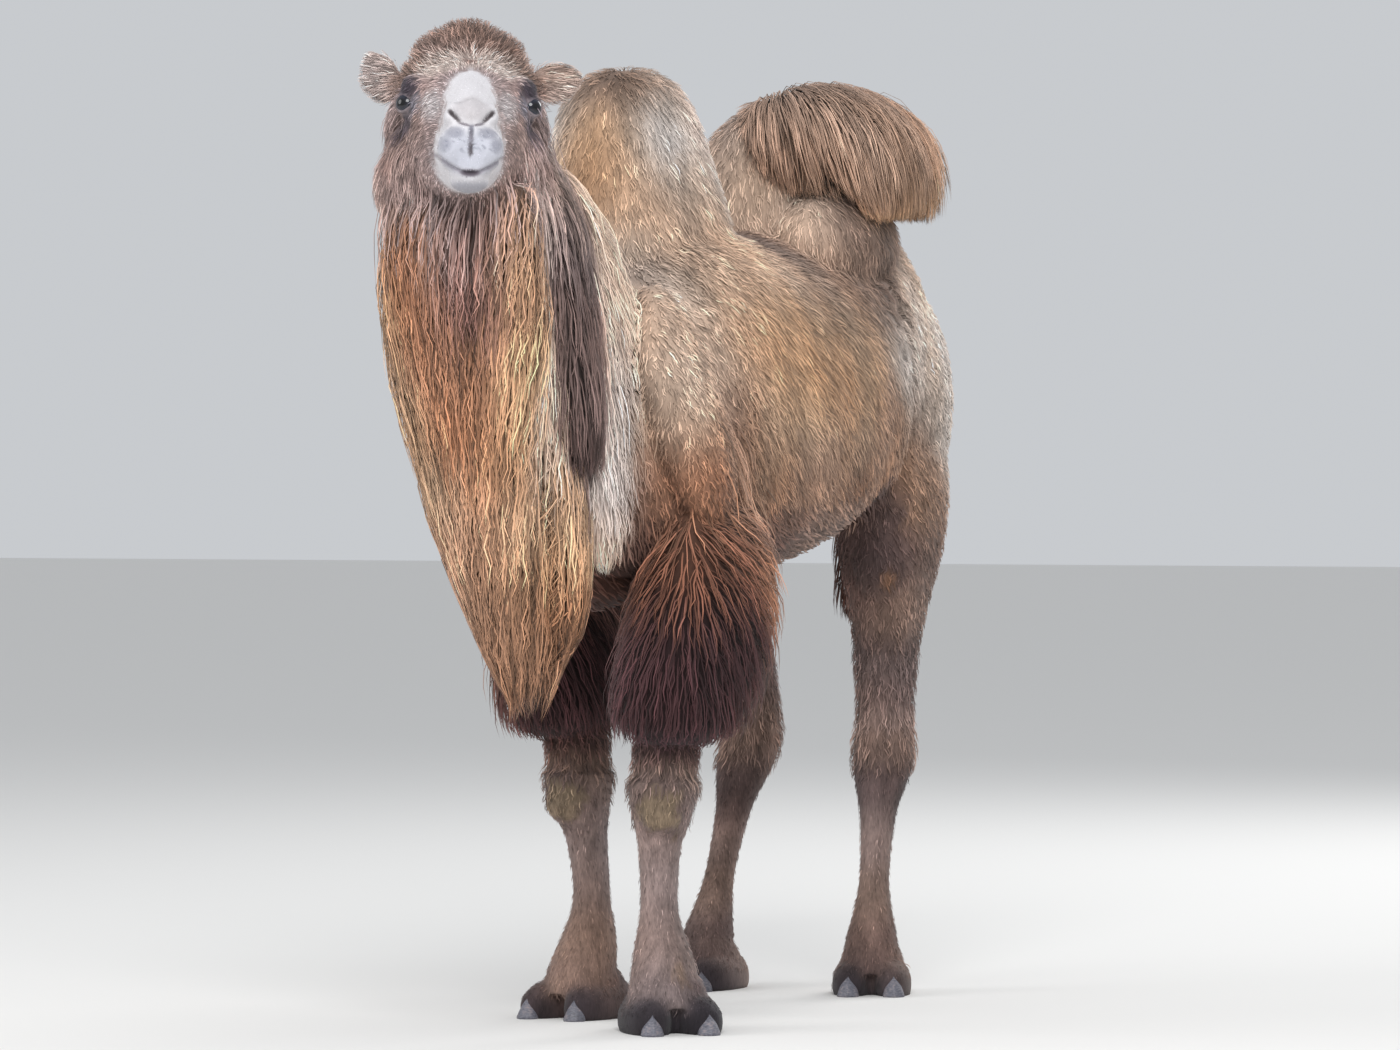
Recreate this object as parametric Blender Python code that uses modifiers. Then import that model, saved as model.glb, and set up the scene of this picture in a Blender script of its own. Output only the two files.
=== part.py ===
"""A life-size standing Bactrian camel in winter coat, facing -Y, its left side at +X.

Every length is in metres. The body is lofted from named sections, fused, and then parted
with thin cuts into the parts that a person would name. The soles lie at z = 0.
"""

from math import cos, pi, radians, sin

import bmesh
import bpy
from mathutils import Euler, Matrix, Vector

# ---------------------------------------------------------------- driving sizes
CUT_GAP = 0.0003          # clear space at every cut between two parts
RING_POINTS = 28          # points round each lofted section

# The whole camel is drawn with its left forefoot near zero, then moved by this much.
MIDDLE_X = -0.021
MIDDLE_Y = -0.322

BODY_VOXEL = 0.011
HEAD_VOXEL = 0.0055
FOOT_VOXEL = 0.006
BODY_TRIANGLES = 2840
HEAD_TRIANGLES = 1750
FOOT_TRIANGLES = 390

# Head: its own frame has the eye midpoint at zero, +Y backward, +X left, +Z up.
EYE_MIDPOINT = (-0.010, -0.616, 1.968)
HEAD_YAW = 26.4
HEAD_PITCH = 1.0
HEAD_ROLL = 1.6
EYE_SPREAD = 0.128        # centre of each eyeball from the middle of the head
EYE_RADIUS = 0.0235
EYE_FORWARD = -0.004
SOCKET_RADIUS = 0.0245
EAR_LENGTH = 0.112
EAR_WIDTH = 0.080
EAR_THICKNESS = 0.044

# Ground position of each foot's middle, and how far it is turned out to the left.
FEET = {
    "fore_left": (0.176, 0.005, 36.0),
    "fore_right": (-0.158, 0.285, -10.0),
    "hind_left": (0.205, 1.125, 20.0),
    "hind_right": (-0.215, 1.125, -8.0),
}
HOCK_LEAN = 0.150         # how far back and inward the right hock stands over its foot
HOCK_TUCK = 0.030
FOOT_HALF_WIDTH = {"fore": 0.112, "hind": 0.094}
FOOT_HALF_LENGTH = {"fore": 0.125, "hind": 0.108}
TOE_HEIGHT = 0.082
TOE_SPLAY = 3.0
NAIL_LENGTH = 0.046
NAIL_WIDTH = 0.050
NAIL_HEIGHT = 0.050

BODY_COLOURS = {
    "head": (0.30, 0.20, 0.16),
    "topknot": (0.21, 0.12, 0.08),
    "ear": (0.42, 0.30, 0.22),
    "neck": (0.42, 0.27, 0.16),
    "beard": (0.32, 0.14, 0.06),
    "nape_lock": (0.09, 0.06, 0.055),
    "chest": (0.50, 0.37, 0.25),
    "barrel": (0.42, 0.26, 0.14),
    "rump": (0.50, 0.37, 0.25),
    "hump": (0.45, 0.29, 0.16),
    "tail": (0.30, 0.19, 0.12),
    "muff": (0.16, 0.07, 0.045),
    "thigh": (0.40, 0.28, 0.18),
    "shank": (0.24, 0.17, 0.14),
    "foot": (0.11, 0.075, 0.07),
    "eye": (0.012, 0.010, 0.012),
    "nail": (0.30, 0.28, 0.28),
}


# ---------------------------------------------------------------- scene and helpers
for old in list(bpy.data.objects):
    bpy.data.objects.remove(old, do_unlink=True)

camel = bpy.data.collections.new("bactrian_camel")
bpy.context.scene.collection.children.link(camel)
cutters = bpy.data.collections.new("cutters")
bpy.context.scene.collection.children.link(cutters)


def material(name, colour, roughness=0.9):
    made = bpy.data.materials.new(name)
    made.use_nodes = True
    shader = made.node_tree.nodes["Principled BSDF"]
    shader.inputs["Base Color"].default_value = (*colour, 1.0)
    shader.inputs["Roughness"].default_value = roughness
    shader.inputs["Metallic"].default_value = 0.0
    return made


def object_of(name, bm, collection=cutters):
    mesh = bpy.data.meshes.new(name)
    bmesh.ops.recalc_face_normals(bm, faces=bm.faces)
    bm.to_mesh(mesh)
    bm.free()
    made = bpy.data.objects.new(name, mesh)
    collection.objects.link(made)
    return made


def superellipse(angle, power):
    """Unit superellipse point; power 2 is an ellipse, more is boxier."""
    c = cos(angle)
    s = sin(angle)
    x = abs(c) ** (2.0 / power) * (1 if c >= 0 else -1)
    y = abs(s) ** (2.0 / power) * (1 if s >= 0 else -1)
    return x, y


def skin_rings(name, rings):
    """A closed surface through rings of equal length, with a fan at each end."""
    bm = bmesh.new()
    rows = [[bm.verts.new(p) for p in ring] for ring in rings]
    count = len(rows[0])
    for low, high in zip(rows, rows[1:]):
        for i in range(count):
            j = (i + 1) % count
            bm.faces.new((low[i], low[j], high[j], high[i]))
    for row in (rows[0], rows[-1]):
        tip = bm.verts.new(sum((v.co for v in row), Vector()) / count)
        for i in range(count):
            bm.faces.new((row[i], row[(i + 1) % count], tip))
    return object_of(name, bm)


def smooth_stations(stations, steps):
    """Catmull-Rom values between stations, each a tuple of equal length."""
    if steps < 2:
        return list(stations)
    padded = [stations[0], *stations, stations[-1]]
    out = []
    for a, b, c, d in zip(padded, padded[1:], padded[2:], padded[3:]):
        for k in range(steps):
            t = k / steps
            out.append(tuple(
                0.5 * (2 * q + (r - p) * t + (2 * p - 5 * q + 4 * r - s) * t * t
                       + (3 * q - p - 3 * r + s) * t ** 3)
                for p, q, r, s in zip(a, b, c, d)))
    out.append(tuple(stations[-1]))
    return out


def barrel_loft(name, stations, power=2.2, steps=3):
    """Upright sections across the body: (y, middle x, half width, bottom z, top z)."""
    rings = []
    for y, x, half, low, top in smooth_stations(stations, steps):
        middle = low + (top - low) * 0.47
        ring = []
        for i in range(RING_POINTS):
            px, pz = superellipse(2 * pi * i / RING_POINTS, power)
            reach = (top - middle) if pz > 0 else (middle - low)
            ring.append(Vector((x + half * px, y, middle + reach * pz)))
        rings.append(ring)
    return skin_rings(name, rings)


def column_loft(name, stations, power=2.0, steps=3, turn=0.0):
    """Level sections up a leg: (z, x, y, half width, half depth), turned about +Z."""
    face = radians(turn)
    side = Vector((cos(face), sin(face), 0))
    back = Vector((-sin(face), cos(face), 0))
    rings = []
    for z, x, y, half, deep in smooth_stations(stations, steps):
        ring = []
        for i in range(RING_POINTS):
            px, py = superellipse(2 * pi * i / RING_POINTS, power)
            ring.append(Vector((x, y, z)) + side * half * px + back * deep * py)
        rings.append(ring)
    return skin_rings(name, rings)


def path_loft(name, stations, across, power=2.0, steps=4, ridges=0, ridge_depth=0.0):
    """Sections square to a bent path: (x, y, z, half width along across, half depth)."""
    fine = smooth_stations(stations, steps)
    points = [Vector(s[:3]) for s in fine]
    rings = []
    for k, station in enumerate(fine):
        before = points[max(k - 1, 0)]
        after = points[min(k + 1, len(points) - 1)]
        along = (after - before).normalized()
        side = Vector(across)
        side = (side - along * side.dot(along)).normalized()
        out = along.cross(side)
        ring = []
        for i in range(RING_POINTS):
            angle = 2 * pi * i / RING_POINTS
            px, py = superellipse(angle, power)
            swell = 1 + ridge_depth * cos(ridges * angle + 0.7 * k / steps) if ridges else 1
            ring.append(points[k] + (side * station[3] * px + out * station[4] * py) * swell)
        rings.append(ring)
    return skin_rings(name, rings)


def ellipsoid(name, place, size, turn=(0, 0, 0), around=28):
    """A ball stretched to half sizes, turned by degrees about X, Y, Z."""
    bm = bmesh.new()
    bmesh.ops.create_uvsphere(bm, u_segments=around, v_segments=around * 5 // 8, radius=1.0)
    spin = Euler([radians(a) for a in turn]).to_matrix().to_4x4()
    bm.transform(Matrix.Translation(place) @ spin @ Matrix.Diagonal((*size, 1.0)))
    return object_of(name, bm)


def block(name, low, high, turn=(0, 0, 0), about=None):
    """A box cutter between two corners, turned by degrees about a point."""
    bm = bmesh.new()
    bmesh.ops.create_cube(bm, size=1.0)
    low = Vector(low)
    high = Vector(high)
    middle = (low + high) / 2
    size = high - low
    pivot = Vector(about) if about else middle
    spin = Euler([radians(a) for a in turn]).to_matrix().to_4x4()
    bm.transform(Matrix.Translation(pivot) @ spin @ Matrix.Translation(middle - pivot)
                 @ Matrix.Diagonal((*size, 1.0)))
    return object_of(name, bm)


def sloped_block(name, low, high, inner_top):
    """A box cutter whose top slopes from inner_top at the middle plane side up to high."""
    made = block(name, low, high)
    inner_x = min(low[0], high[0], key=abs)
    for vert in made.data.vertices:
        if vert.co.z > (low[2] + high[2]) / 2 and abs(vert.co.x - inner_x) < 0.001:
            vert.co.z = inner_top
    return made


def apply_modifiers(obj):
    graph = bpy.context.evaluated_depsgraph_get()
    mesh = bpy.data.meshes.new_from_object(obj.evaluated_get(graph))
    old = obj.data
    obj.modifiers.clear()
    obj.data = mesh
    bpy.data.meshes.remove(old)


def joined_copy(name, pieces):
    bm = bmesh.new()
    for piece in pieces:
        mesh = piece.data.copy()
        mesh.transform(piece.matrix_world)
        bm.from_mesh(mesh)
        bpy.data.meshes.remove(mesh)
    made = object_of(name, bm)
    return made


def triangle_count(mesh):
    mesh.calc_loop_triangles()
    return len(mesh.loop_triangles)


def fused(name, pieces, voxel, relax, triangles):
    """One skin round overlapping closed shapes: voxel remesh, relax, then decimate."""
    made = joined_copy(name, pieces)
    remesh = made.modifiers.new("Fuse", "REMESH")
    remesh.mode = "VOXEL"
    remesh.voxel_size = voxel
    relaxed = made.modifiers.new("Relax", "SMOOTH")
    relaxed.factor = 0.5
    relaxed.iterations = relax
    apply_modifiers(made)
    thin = made.modifiers.new("Thin", "DECIMATE")
    thin.ratio = triangles / triangle_count(made.data)
    thin.use_collapse_triangulate = True
    apply_modifiers(made)
    return made


def boolean(obj, cutter, operation):
    cut = obj.modifiers.new("Cut", "BOOLEAN")
    cut.operation = operation
    cut.solver = "EXACT"
    cut.object = cutter
    apply_modifiers(obj)


def keep_largest(obj):
    """Drops the loose crumbs that a cut leaves beside the piece."""
    bm = bmesh.new()
    bm.from_mesh(obj.data)
    bm.verts.ensure_lookup_table()
    seen = set()
    islands = []
    for start in bm.verts:
        if start.index in seen:
            continue
        island = []
        front = [start]
        seen.add(start.index)
        while front:
            vert = front.pop()
            island.append(vert)
            for edge in vert.link_edges:
                other = edge.other_vert(vert)
                if other.index not in seen:
                    seen.add(other.index)
                    front.append(other)
        islands.append(island)
    islands.sort(key=len)
    for island in islands[:-1]:
        bmesh.ops.delete(bm, geom=island, context="VERTS")
    bm.to_mesh(obj.data)
    bm.free()


def grown(cutter):
    """A copy of a convex cutter, pushed out by the cut gap on every face."""
    bm = bmesh.new()
    bm.from_mesh(cutter.data)
    bmesh.ops.recalc_face_normals(bm, faces=bm.faces)
    moved = {}
    for vert in bm.verts:
        shift = Vector()
        for face in vert.link_faces:
            shift += face.normal * CUT_GAP
        moved[vert] = vert.co + shift
    for vert, place in moved.items():
        vert.co = place
    return object_of(cutter.name + "_grown", bm)


def part_off(name, source, cutter, bodies):
    """Takes what lies in the cutter from source as a new part, and clears it from bodies."""
    piece = bpy.data.objects.new(name, source.data.copy())
    camel.objects.link(piece)
    boolean(piece, cutter, "INTERSECT")
    keep_largest(piece)
    wide = grown(cutter)
    for body in bodies:
        boolean(body, wide, "DIFFERENCE")
    bpy.data.objects.remove(wide, do_unlink=True)
    return piece


# ---------------------------------------------------------------- trunk and humps
# y, middle x, half width, bottom z, top z
TRUNK = (
    (-0.335, 0.00, 0.085, 1.13, 1.36),
    (-0.300, 0.00, 0.150, 1.05, 1.44),
    (-0.220, 0.00, 0.225, 0.98, 1.53),
    (-0.080, 0.00, 0.292, 0.95, 1.65),
    (0.100, 0.00, 0.330, 0.93, 1.76),
    (0.320, 0.00, 0.352, 0.94, 1.78),
    (0.560, 0.00, 0.372, 0.955, 1.75),
    (0.800, 0.00, 0.372, 0.985, 1.78),
    (1.000, 0.00, 0.354, 1.03, 1.83),
    (1.180, 0.00, 0.332, 1.08, 1.85),
    (1.320, 0.00, 0.292, 1.12, 1.80),
    (1.430, 0.00, 0.222, 1.17, 1.685),
    (1.500, 0.00, 0.120, 1.24, 1.520),
)
trunk_form = barrel_loft("trunk_form", TRUNK, power=2.25)

shoulder_left = ellipsoid("shoulder_left", (0.228, -0.035, 1.35), (0.092, 0.21, 0.28), (6, -14, 8))
shoulder_right = ellipsoid("shoulder_right", (-0.228, 0.03, 1.35), (0.092, 0.21, 0.28), (6, 14, -8))
breast_pad = ellipsoid("breast_pad", (0.0, -0.03, 0.965), (0.115, 0.15, 0.06))
haunch_left = ellipsoid("haunch_left", (0.205, 1.225, 1.36), (0.135, 0.255, 0.30), (-8, 0, 0))
haunch_right = ellipsoid("haunch_right", (-0.205, 1.235, 1.36), (0.135, 0.255, 0.30), (-8, 0, 0))

# Front hump, upright: x, y, z, half length along the spine, half thickness
FRONT_HUMP = (
    (0.000, 0.235, 1.62, 0.330, 0.225),
    (0.000, 0.240, 1.72, 0.310, 0.200),
    (-0.010, 0.235, 1.82, 0.285, 0.182),
    (-0.016, 0.228, 1.92, 0.252, 0.164),
    (-0.018, 0.225, 2.00, 0.217, 0.143),
    (-0.018, 0.225, 2.05, 0.172, 0.116),
    (-0.018, 0.225, 2.082, 0.100, 0.072),
)
front_hump_form = path_loft("front_hump_form", FRONT_HUMP, (0, 1, 0), ridges=9, ridge_depth=0.025)

# Rear hump, fallen over to the left so that its tip and fringe hang beside the loin
REAR_HUMP = (
    (0.000, 0.930, 1.62, 0.300, 0.220),
    (0.008, 0.925, 1.76, 0.285, 0.198),
    (0.045, 0.925, 1.885, 0.265, 0.178),
    (0.118, 0.935, 1.950, 0.260, 0.152),
    (0.200, 0.958, 1.970, 0.256, 0.132),
    (0.274, 0.976, 1.944, 0.240, 0.110),
    (0.308, 0.985, 1.885, 0.215, 0.090),
    (0.315, 0.995, 1.832, 0.195, 0.074),
    (0.313, 1.000, 1.800, 0.165, 0.054),
)
rear_hump_form = path_loft("rear_hump_form", REAR_HUMP, (0, 1, 0), power=2.4,
                           ridges=14, ridge_depth=0.03)

# Heel of the rear hump, which fills the angle between its fallen side and the back
hump_heel = ellipsoid("hump_heel", (0.185, 0.930, 1.725), (0.138, 0.245, 0.140), around=20)

# ---------------------------------------------------------------- neck, beard, nape
# x, y, z, half width, half depth
NECK = (
    (0.000, 0.000, 1.340, 0.235, 0.290),
    (0.000, -0.160, 1.310, 0.215, 0.240),
    (-0.005, -0.290, 1.335, 0.190, 0.205),
    (-0.015, -0.375, 1.420, 0.178, 0.180),
    (-0.028, -0.415, 1.530, 0.174, 0.165),
    (-0.035, -0.435, 1.650, 0.174, 0.152),
    (-0.038, -0.450, 1.760, 0.170, 0.145),
    (-0.042, -0.470, 1.860, 0.150, 0.135),
    (-0.050, -0.490, 1.940, 0.110, 0.110),
)
neck_form = path_loft("neck_form", NECK, (1, 0, 0), power=2.1)

# Throat beard: z, x, y, half width, half depth
BEARD = (
    (1.800, -0.042, -0.585, 0.180, 0.072),
    (1.700, -0.050, -0.580, 0.190, 0.098),
    (1.550, -0.050, -0.545, 0.188, 0.118),
    (1.400, -0.060, -0.500, 0.176, 0.124),
    (1.250, -0.060, -0.455, 0.150, 0.122),
    (1.100, -0.046, -0.425, 0.132, 0.112),
    (0.950, -0.016, -0.410, 0.108, 0.092),
    (0.850, 0.006, -0.412, 0.086, 0.070),
    (0.770, 0.020, -0.420, 0.056, 0.048),
    (0.715, 0.034, -0.426, 0.034, 0.030),
    (0.690, 0.036, -0.430, 0.016, 0.014),
)
beard_form = column_loft("beard_form", BEARD, power=2.15, turn=0)
beard_side_left = column_loft("beard_side_left", (
    (1.36, 0.085, -0.400, 0.020, 0.030),
    (1.25, 0.100, -0.385, 0.050, 0.070),
    (1.08, 0.110, -0.375, 0.050, 0.060),
    (0.95, 0.112, -0.372, 0.046, 0.050),
    (0.86, 0.098, -0.376, 0.040, 0.040),
    (0.80, 0.076, -0.384, 0.028, 0.030),
    (0.765, 0.060, -0.392, 0.010, 0.012),
))
neck_wool_left = column_loft("neck_wool_left", (
    (1.90, 0.010, -0.380, 0.025, 0.035),
    (1.78, 0.050, -0.320, 0.082, 0.100),
    (1.60, 0.098, -0.262, 0.092, 0.140),
    (1.40, 0.128, -0.240, 0.080, 0.138),
    (1.22, 0.142, -0.248, 0.070, 0.112),
    (1.10, 0.146, -0.262, 0.050, 0.078),
    (1.02, 0.142, -0.272, 0.022, 0.040),
    (0.995, 0.140, -0.275, 0.008, 0.015),
))
neck_wool_right = column_loft("neck_wool_right", (
    (1.90, -0.070, -0.380, 0.025, 0.035),
    (1.78, -0.085, -0.320, 0.078, 0.100),
    (1.60, -0.115, -0.262, 0.086, 0.140),
    (1.40, -0.140, -0.240, 0.078, 0.138),
    (1.22, -0.150, -0.248, 0.066, 0.112),
    (1.10, -0.150, -0.262, 0.046, 0.078),
    (1.02, -0.148, -0.272, 0.020, 0.040),
    (0.995, -0.148, -0.275, 0.008, 0.015),
))
# Nape lock: the long mane parted over the left side of the neck
NAPE_LOCK = (
    (1.900, 0.030, -0.440, 0.050, 0.060),
    (1.800, 0.078, -0.430, 0.053, 0.085),
    (1.650, 0.116, -0.415, 0.045, 0.095),
    (1.480, 0.139, -0.400, 0.038, 0.092),
    (1.330, 0.149, -0.390, 0.034, 0.078),
    (1.240, 0.150, -0.384, 0.022, 0.046),
    (1.200, 0.150, -0.381, 0.010, 0.020),
)
nape_form = column_loft("nape_form", NAPE_LOCK, turn=12)
nape_ridge = path_loft("nape_ridge", (
    (-0.045, -0.370, 1.93, 0.060, 0.055),
    (-0.040, -0.310, 1.78, 0.078, 0.065),
    (-0.025, -0.230, 1.62, 0.100, 0.075),
    (0.000, -0.110, 1.50, 0.140, 0.100),
    (0.000, 0.050, 1.54, 0.160, 0.120),
), (1, 0, 0))

# ---------------------------------------------------------------- legs
# z, x offset from the foot, y offset from the foot, half width, half depth
FORE_LIMB = (
    (1.300, 0.050, 0.020, 0.090, 0.140),
    (1.150, 0.045, 0.015, 0.085, 0.125),
    (1.000, 0.030, 0.005, 0.078, 0.110),
    (0.850, 0.016, -0.005, 0.072, 0.092),
    (0.700, 0.004, -0.012, 0.068, 0.080),
    (0.600, 0.000, -0.015, 0.080, 0.085),
    (0.540, -0.004, -0.018, 0.080, 0.085),
    (0.490, -0.006, -0.020, 0.073, 0.080),
    (0.440, -0.012, -0.014, 0.061, 0.064),
    (0.400, -0.018, -0.008, 0.050, 0.054),
    (0.320, -0.024, 0.002, 0.044, 0.050),
    (0.250, -0.025, 0.006, 0.045, 0.053),
    (0.190, -0.020, 0.006, 0.060, 0.066),
    (0.140, -0.012, 0.000, 0.072, 0.078),
    (0.090, -0.006, -0.008, 0.080, 0.088),
    (0.055, -0.002, -0.010, 0.084, 0.092),
)
HIND_LIMB = (
    (1.280, 0.000, 0.100, 0.125, 0.205),
    (1.150, 0.010, 0.095, 0.128, 0.190),
    (1.020, 0.015, 0.080, 0.118, 0.160),
    (0.900, 0.014, 0.066, 0.095, 0.122),
    (0.780, 0.006, 0.074, 0.076, 0.094),
    (0.680, 0.000, 0.082, 0.067, 0.084),
    (0.600, 0.000, 0.080, 0.070, 0.082),
    (0.540, 0.000, 0.074, 0.074, 0.080),
    (0.480, 0.000, 0.056, 0.062, 0.070),
    (0.420, 0.000, 0.040, 0.046, 0.057),
    (0.330, 0.000, 0.024, 0.038, 0.050),
    (0.250, 0.000, 0.012, 0.038, 0.049),
    (0.180, 0.000, 0.004, 0.050, 0.058),
    (0.130, 0.000, -0.002, 0.062, 0.068),
    (0.085, 0.000, -0.008, 0.068, 0.076),
    (0.050, 0.000, -0.010, 0.072, 0.080),
)
# Woolly sleeve of the upper foreleg: z, x offset, y offset, half width, half depth
MUFF = (
    (1.170, 0.056, 0.040, 0.060, 0.120),
    (1.110, 0.064, 0.042, 0.110, 0.190),
    (1.020, 0.066, 0.046, 0.140, 0.228),
    (0.900, 0.058, 0.040, 0.156, 0.240),
    (0.780, 0.044, 0.015, 0.157, 0.228),
    (0.700, 0.034, -0.010, 0.148, 0.200),
    (0.650, 0.030, -0.020, 0.128, 0.168),
    (0.622, 0.028, -0.020, 0.092, 0.112),
)


def at_foot(stations, leg, lean=0.0, tuck=0.0):
    """Leg stations moved over their foot; lean shifts the hock backward and tuck inward."""
    x, y, _ = FEET[leg]
    side = 1 if x > 0 else -1
    out = []
    for z, dx, dy, half, deep in stations:
        mid = max(0.0, 1 - abs(z - 0.62) / 0.55)
        out.append((z, x + side * (dx - tuck * mid), y + dy + lean * mid, half, deep))
    return out


def foot_forms(leg):
    """Two broad toes on a common pad, each on the flat of the sole."""
    x, y, turn = FEET[leg]
    kind = leg.split("_")[0]
    half = FOOT_HALF_WIDTH[kind]
    long_half = FOOT_HALF_LENGTH[kind]
    spin = Matrix.Translation((x, y, 0)) @ Matrix.Rotation(radians(turn), 4, "Z")
    forms = []
    for side in (-1, 1):
        # z, x, y, half width, half length of one toe
        toe = (
            (-0.012, 0.478, -0.02, 0.458, 0.93),
            (0.000, 0.478, -0.02, 0.478, 0.96),
            (0.016, 0.483, -0.02, 0.498, 1.00),
            (0.038, 0.478, -0.02, 0.493, 0.99),
            (0.056, 0.448, 0.00, 0.448, 0.91),
            (0.072, 0.408, 0.05, 0.368, 0.78),
            (TOE_HEIGHT, 0.358, 0.12, 0.258, 0.56),
        )
        stations = [(z, side * half * cx, long_half * cy, half * hx, long_half * hy)
                    for z, cx, cy, hx, hy in toe]
        form = column_loft(leg + "_toe_form", stations, power=2.15, steps=2)
        form.data.transform(spin @ Matrix.Rotation(radians(side * TOE_SPLAY), 4, "Z"))
        forms.append(form)
    pad = column_loft(leg + "_pad_form", (
        (-0.010, 0.0, long_half * 0.25, half * 0.78, long_half * 0.72),
        (0.004, 0.0, long_half * 0.25, half * 0.80, long_half * 0.74),
        (0.040, 0.0, long_half * 0.22, half * 0.86, long_half * 0.76),
        (0.080, 0.0, long_half * 0.14, half * 0.78, long_half * 0.72),
        (0.110, 0.0, long_half * 0.06, half * 0.66, long_half * 0.62),
    ), power=2.1, steps=2)
    pad.data.transform(spin)
    forms.append(pad)
    return forms


LEGS = tuple(FEET)
limb_forms = {}
toe_forms = {}
for leg in LEGS:
    if leg.startswith("fore"):
        stations = at_foot(FORE_LIMB, leg)
        muff_stations = at_foot(MUFF, leg)
        muff = column_loft(leg + "_muff_form", muff_stations, power=2.2)
        side = 1 if FEET[leg][0] > 0 else -1
        pad = ellipsoid(leg + "_knee_pad", (FEET[leg][0] + side * 0.008, FEET[leg][1] - 0.062, 0.487),
                        (0.052, 0.036, 0.062), (0, 0, FEET[leg][2] * 0.6))
        limb_forms[leg] = [column_loft(leg + "_form", stations), muff, pad]
    else:
        right = leg.endswith("right")
        stations = at_foot(HIND_LIMB, leg, lean=HOCK_LEAN if right else 0.0,
                           tuck=HOCK_TUCK if right else 0.0)
        side = 1 if FEET[leg][0] > 0 else -1
        heel = ellipsoid(leg + "_hock_point",
                         (FEET[leg][0] + (HOCK_TUCK if right else 0.0),
                          FEET[leg][1] + 0.135 + (HOCK_LEAN * 0.92 if right else 0.0), 0.575),
                         (0.036, 0.042, 0.075), (-14, 0, 0))
        stifle = ellipsoid(leg + "_stifle", (FEET[leg][0] + side * 0.03, FEET[leg][1] + 0.010, 1.000),
                           (0.090, 0.110, 0.130), (0, 0, 0))
        limb_forms[leg] = [column_loft(leg + "_form", stations, power=2.1), heel, stifle]
    toe_forms[leg] = foot_forms(leg)

tail_form = path_loft("tail_form", (
    (0.000, 1.420, 1.500, 0.045, 0.045),
    (0.000, 1.490, 1.470, 0.040, 0.040),
    (0.000, 1.525, 1.380, 0.036, 0.036),
    (0.004, 1.530, 1.260, 0.034, 0.034),
    (0.008, 1.520, 1.140, 0.036, 0.036),
    (0.010, 1.510, 1.030, 0.042, 0.042),
    (0.010, 1.505, 0.930, 0.036, 0.036),
    (0.010, 1.500, 0.860, 0.012, 0.012),
), (1, 0, 0))

# ---------------------------------------------------------------- head
to_head = (Matrix.Translation(EYE_MIDPOINT)
           @ Matrix.Rotation(radians(HEAD_YAW), 4, "Z")
           @ Matrix.Rotation(radians(-HEAD_PITCH), 4, "X")
           @ Matrix.Rotation(radians(HEAD_ROLL), 4, "Y"))

# In the head's own frame: y, middle x, half width, bottom z, top z
SKULL = (
    (0.235, 0.0, 0.050, -0.120, 0.020),
    (0.200, 0.0, 0.095, -0.160, 0.070),
    (0.140, 0.0, 0.128, -0.195, 0.098),
    (0.080, 0.0, 0.132, -0.212, 0.108),
    (0.020, 0.0, 0.134, -0.206, 0.108),
    (-0.030, 0.0, 0.122, -0.198, 0.098),
    (-0.080, 0.0, 0.097, -0.190, 0.078),
    (-0.130, 0.0, 0.077, -0.188, 0.056),
    (-0.180, 0.0, 0.065, -0.189, 0.034),
    (-0.225, 0.0, 0.059, -0.192, 0.014),
    (-0.262, 0.0, 0.055, -0.190, -0.008),
    (-0.290, 0.0, 0.046, -0.178, -0.034),
    (-0.304, 0.0, 0.030, -0.160, -0.060),
)
skull_form = barrel_loft("skull_form", SKULL, power=2.25, steps=3)
head_forms = [skull_form]


def head_ball(name, place, size, turn=(0, 0, 0)):
    made = ellipsoid(name, place, size, turn)
    head_forms.append(made)
    return made


for side, word in ((1, "left"), (-1, "right")):
    head_ball("cheek_" + word, (side * 0.095, 0.085, -0.110), (0.075, 0.105, 0.105))
    head_ball("jowl_" + word, (side * 0.122, 0.125, -0.160), (0.072, 0.075, 0.098))
    head_ball("temple_" + word, (side * 0.114, 0.105, -0.045), (0.062, 0.060, 0.090))
    head_ball("brow_" + word, (side * 0.106, 0.008, 0.038), (0.038, 0.055, 0.030), (0, side * 20, side * -18))
    head_ball("orbit_" + word, (side * 0.113, 0.006, 0.000), (0.036, 0.052, 0.042), (0, 0, side * -20))
    head_ball("lip_" + word, (side * 0.033, -0.262, -0.110), (0.039, 0.052, 0.050), (0, side * 8, 0))
    head_ball("nostril_wing_" + word, (side * 0.030, -0.247, -0.040), (0.031, 0.050, 0.032), (0, side * 18, 0))
head_ball("nose_bridge", (0.0, -0.135, 0.020), (0.040, 0.140, 0.034), (17, 0, 0))
head_ball("nose_tip", (0.0, -0.262, -0.040), (0.038, 0.040, 0.042))
head_ball("chin", (0.0, -0.240, -0.168), (0.046, 0.052, 0.032))
head_ball("throat", (0.0, 0.110, -0.200), (0.110, 0.110, 0.080))
head_ball("crown", (0.0, 0.120, 0.075), (0.140, 0.120, 0.062))
head_ball("topknot_form", (0.0, 0.115, 0.108), (0.122, 0.105, 0.070))
head_ball("topknot_peak", (0.0, 0.112, 0.122), (0.084, 0.088, 0.062))
head_ball("forelock", (0.0, 0.045, 0.098), (0.085, 0.060, 0.034), (18, 0, 0))
for side, word in ((1, "left"), (-1, "right")):
    head_ball("ear_root_" + word, (side * 0.112, 0.150, 0.045), (0.045, 0.045, 0.045))
for made in head_forms:
    made.data.transform(to_head)


def head_cutter(name, place, size, turn=(0, 0, 0)):
    made = ellipsoid(name, place, size, turn, around=14)
    made.data.transform(to_head)
    return made


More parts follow.
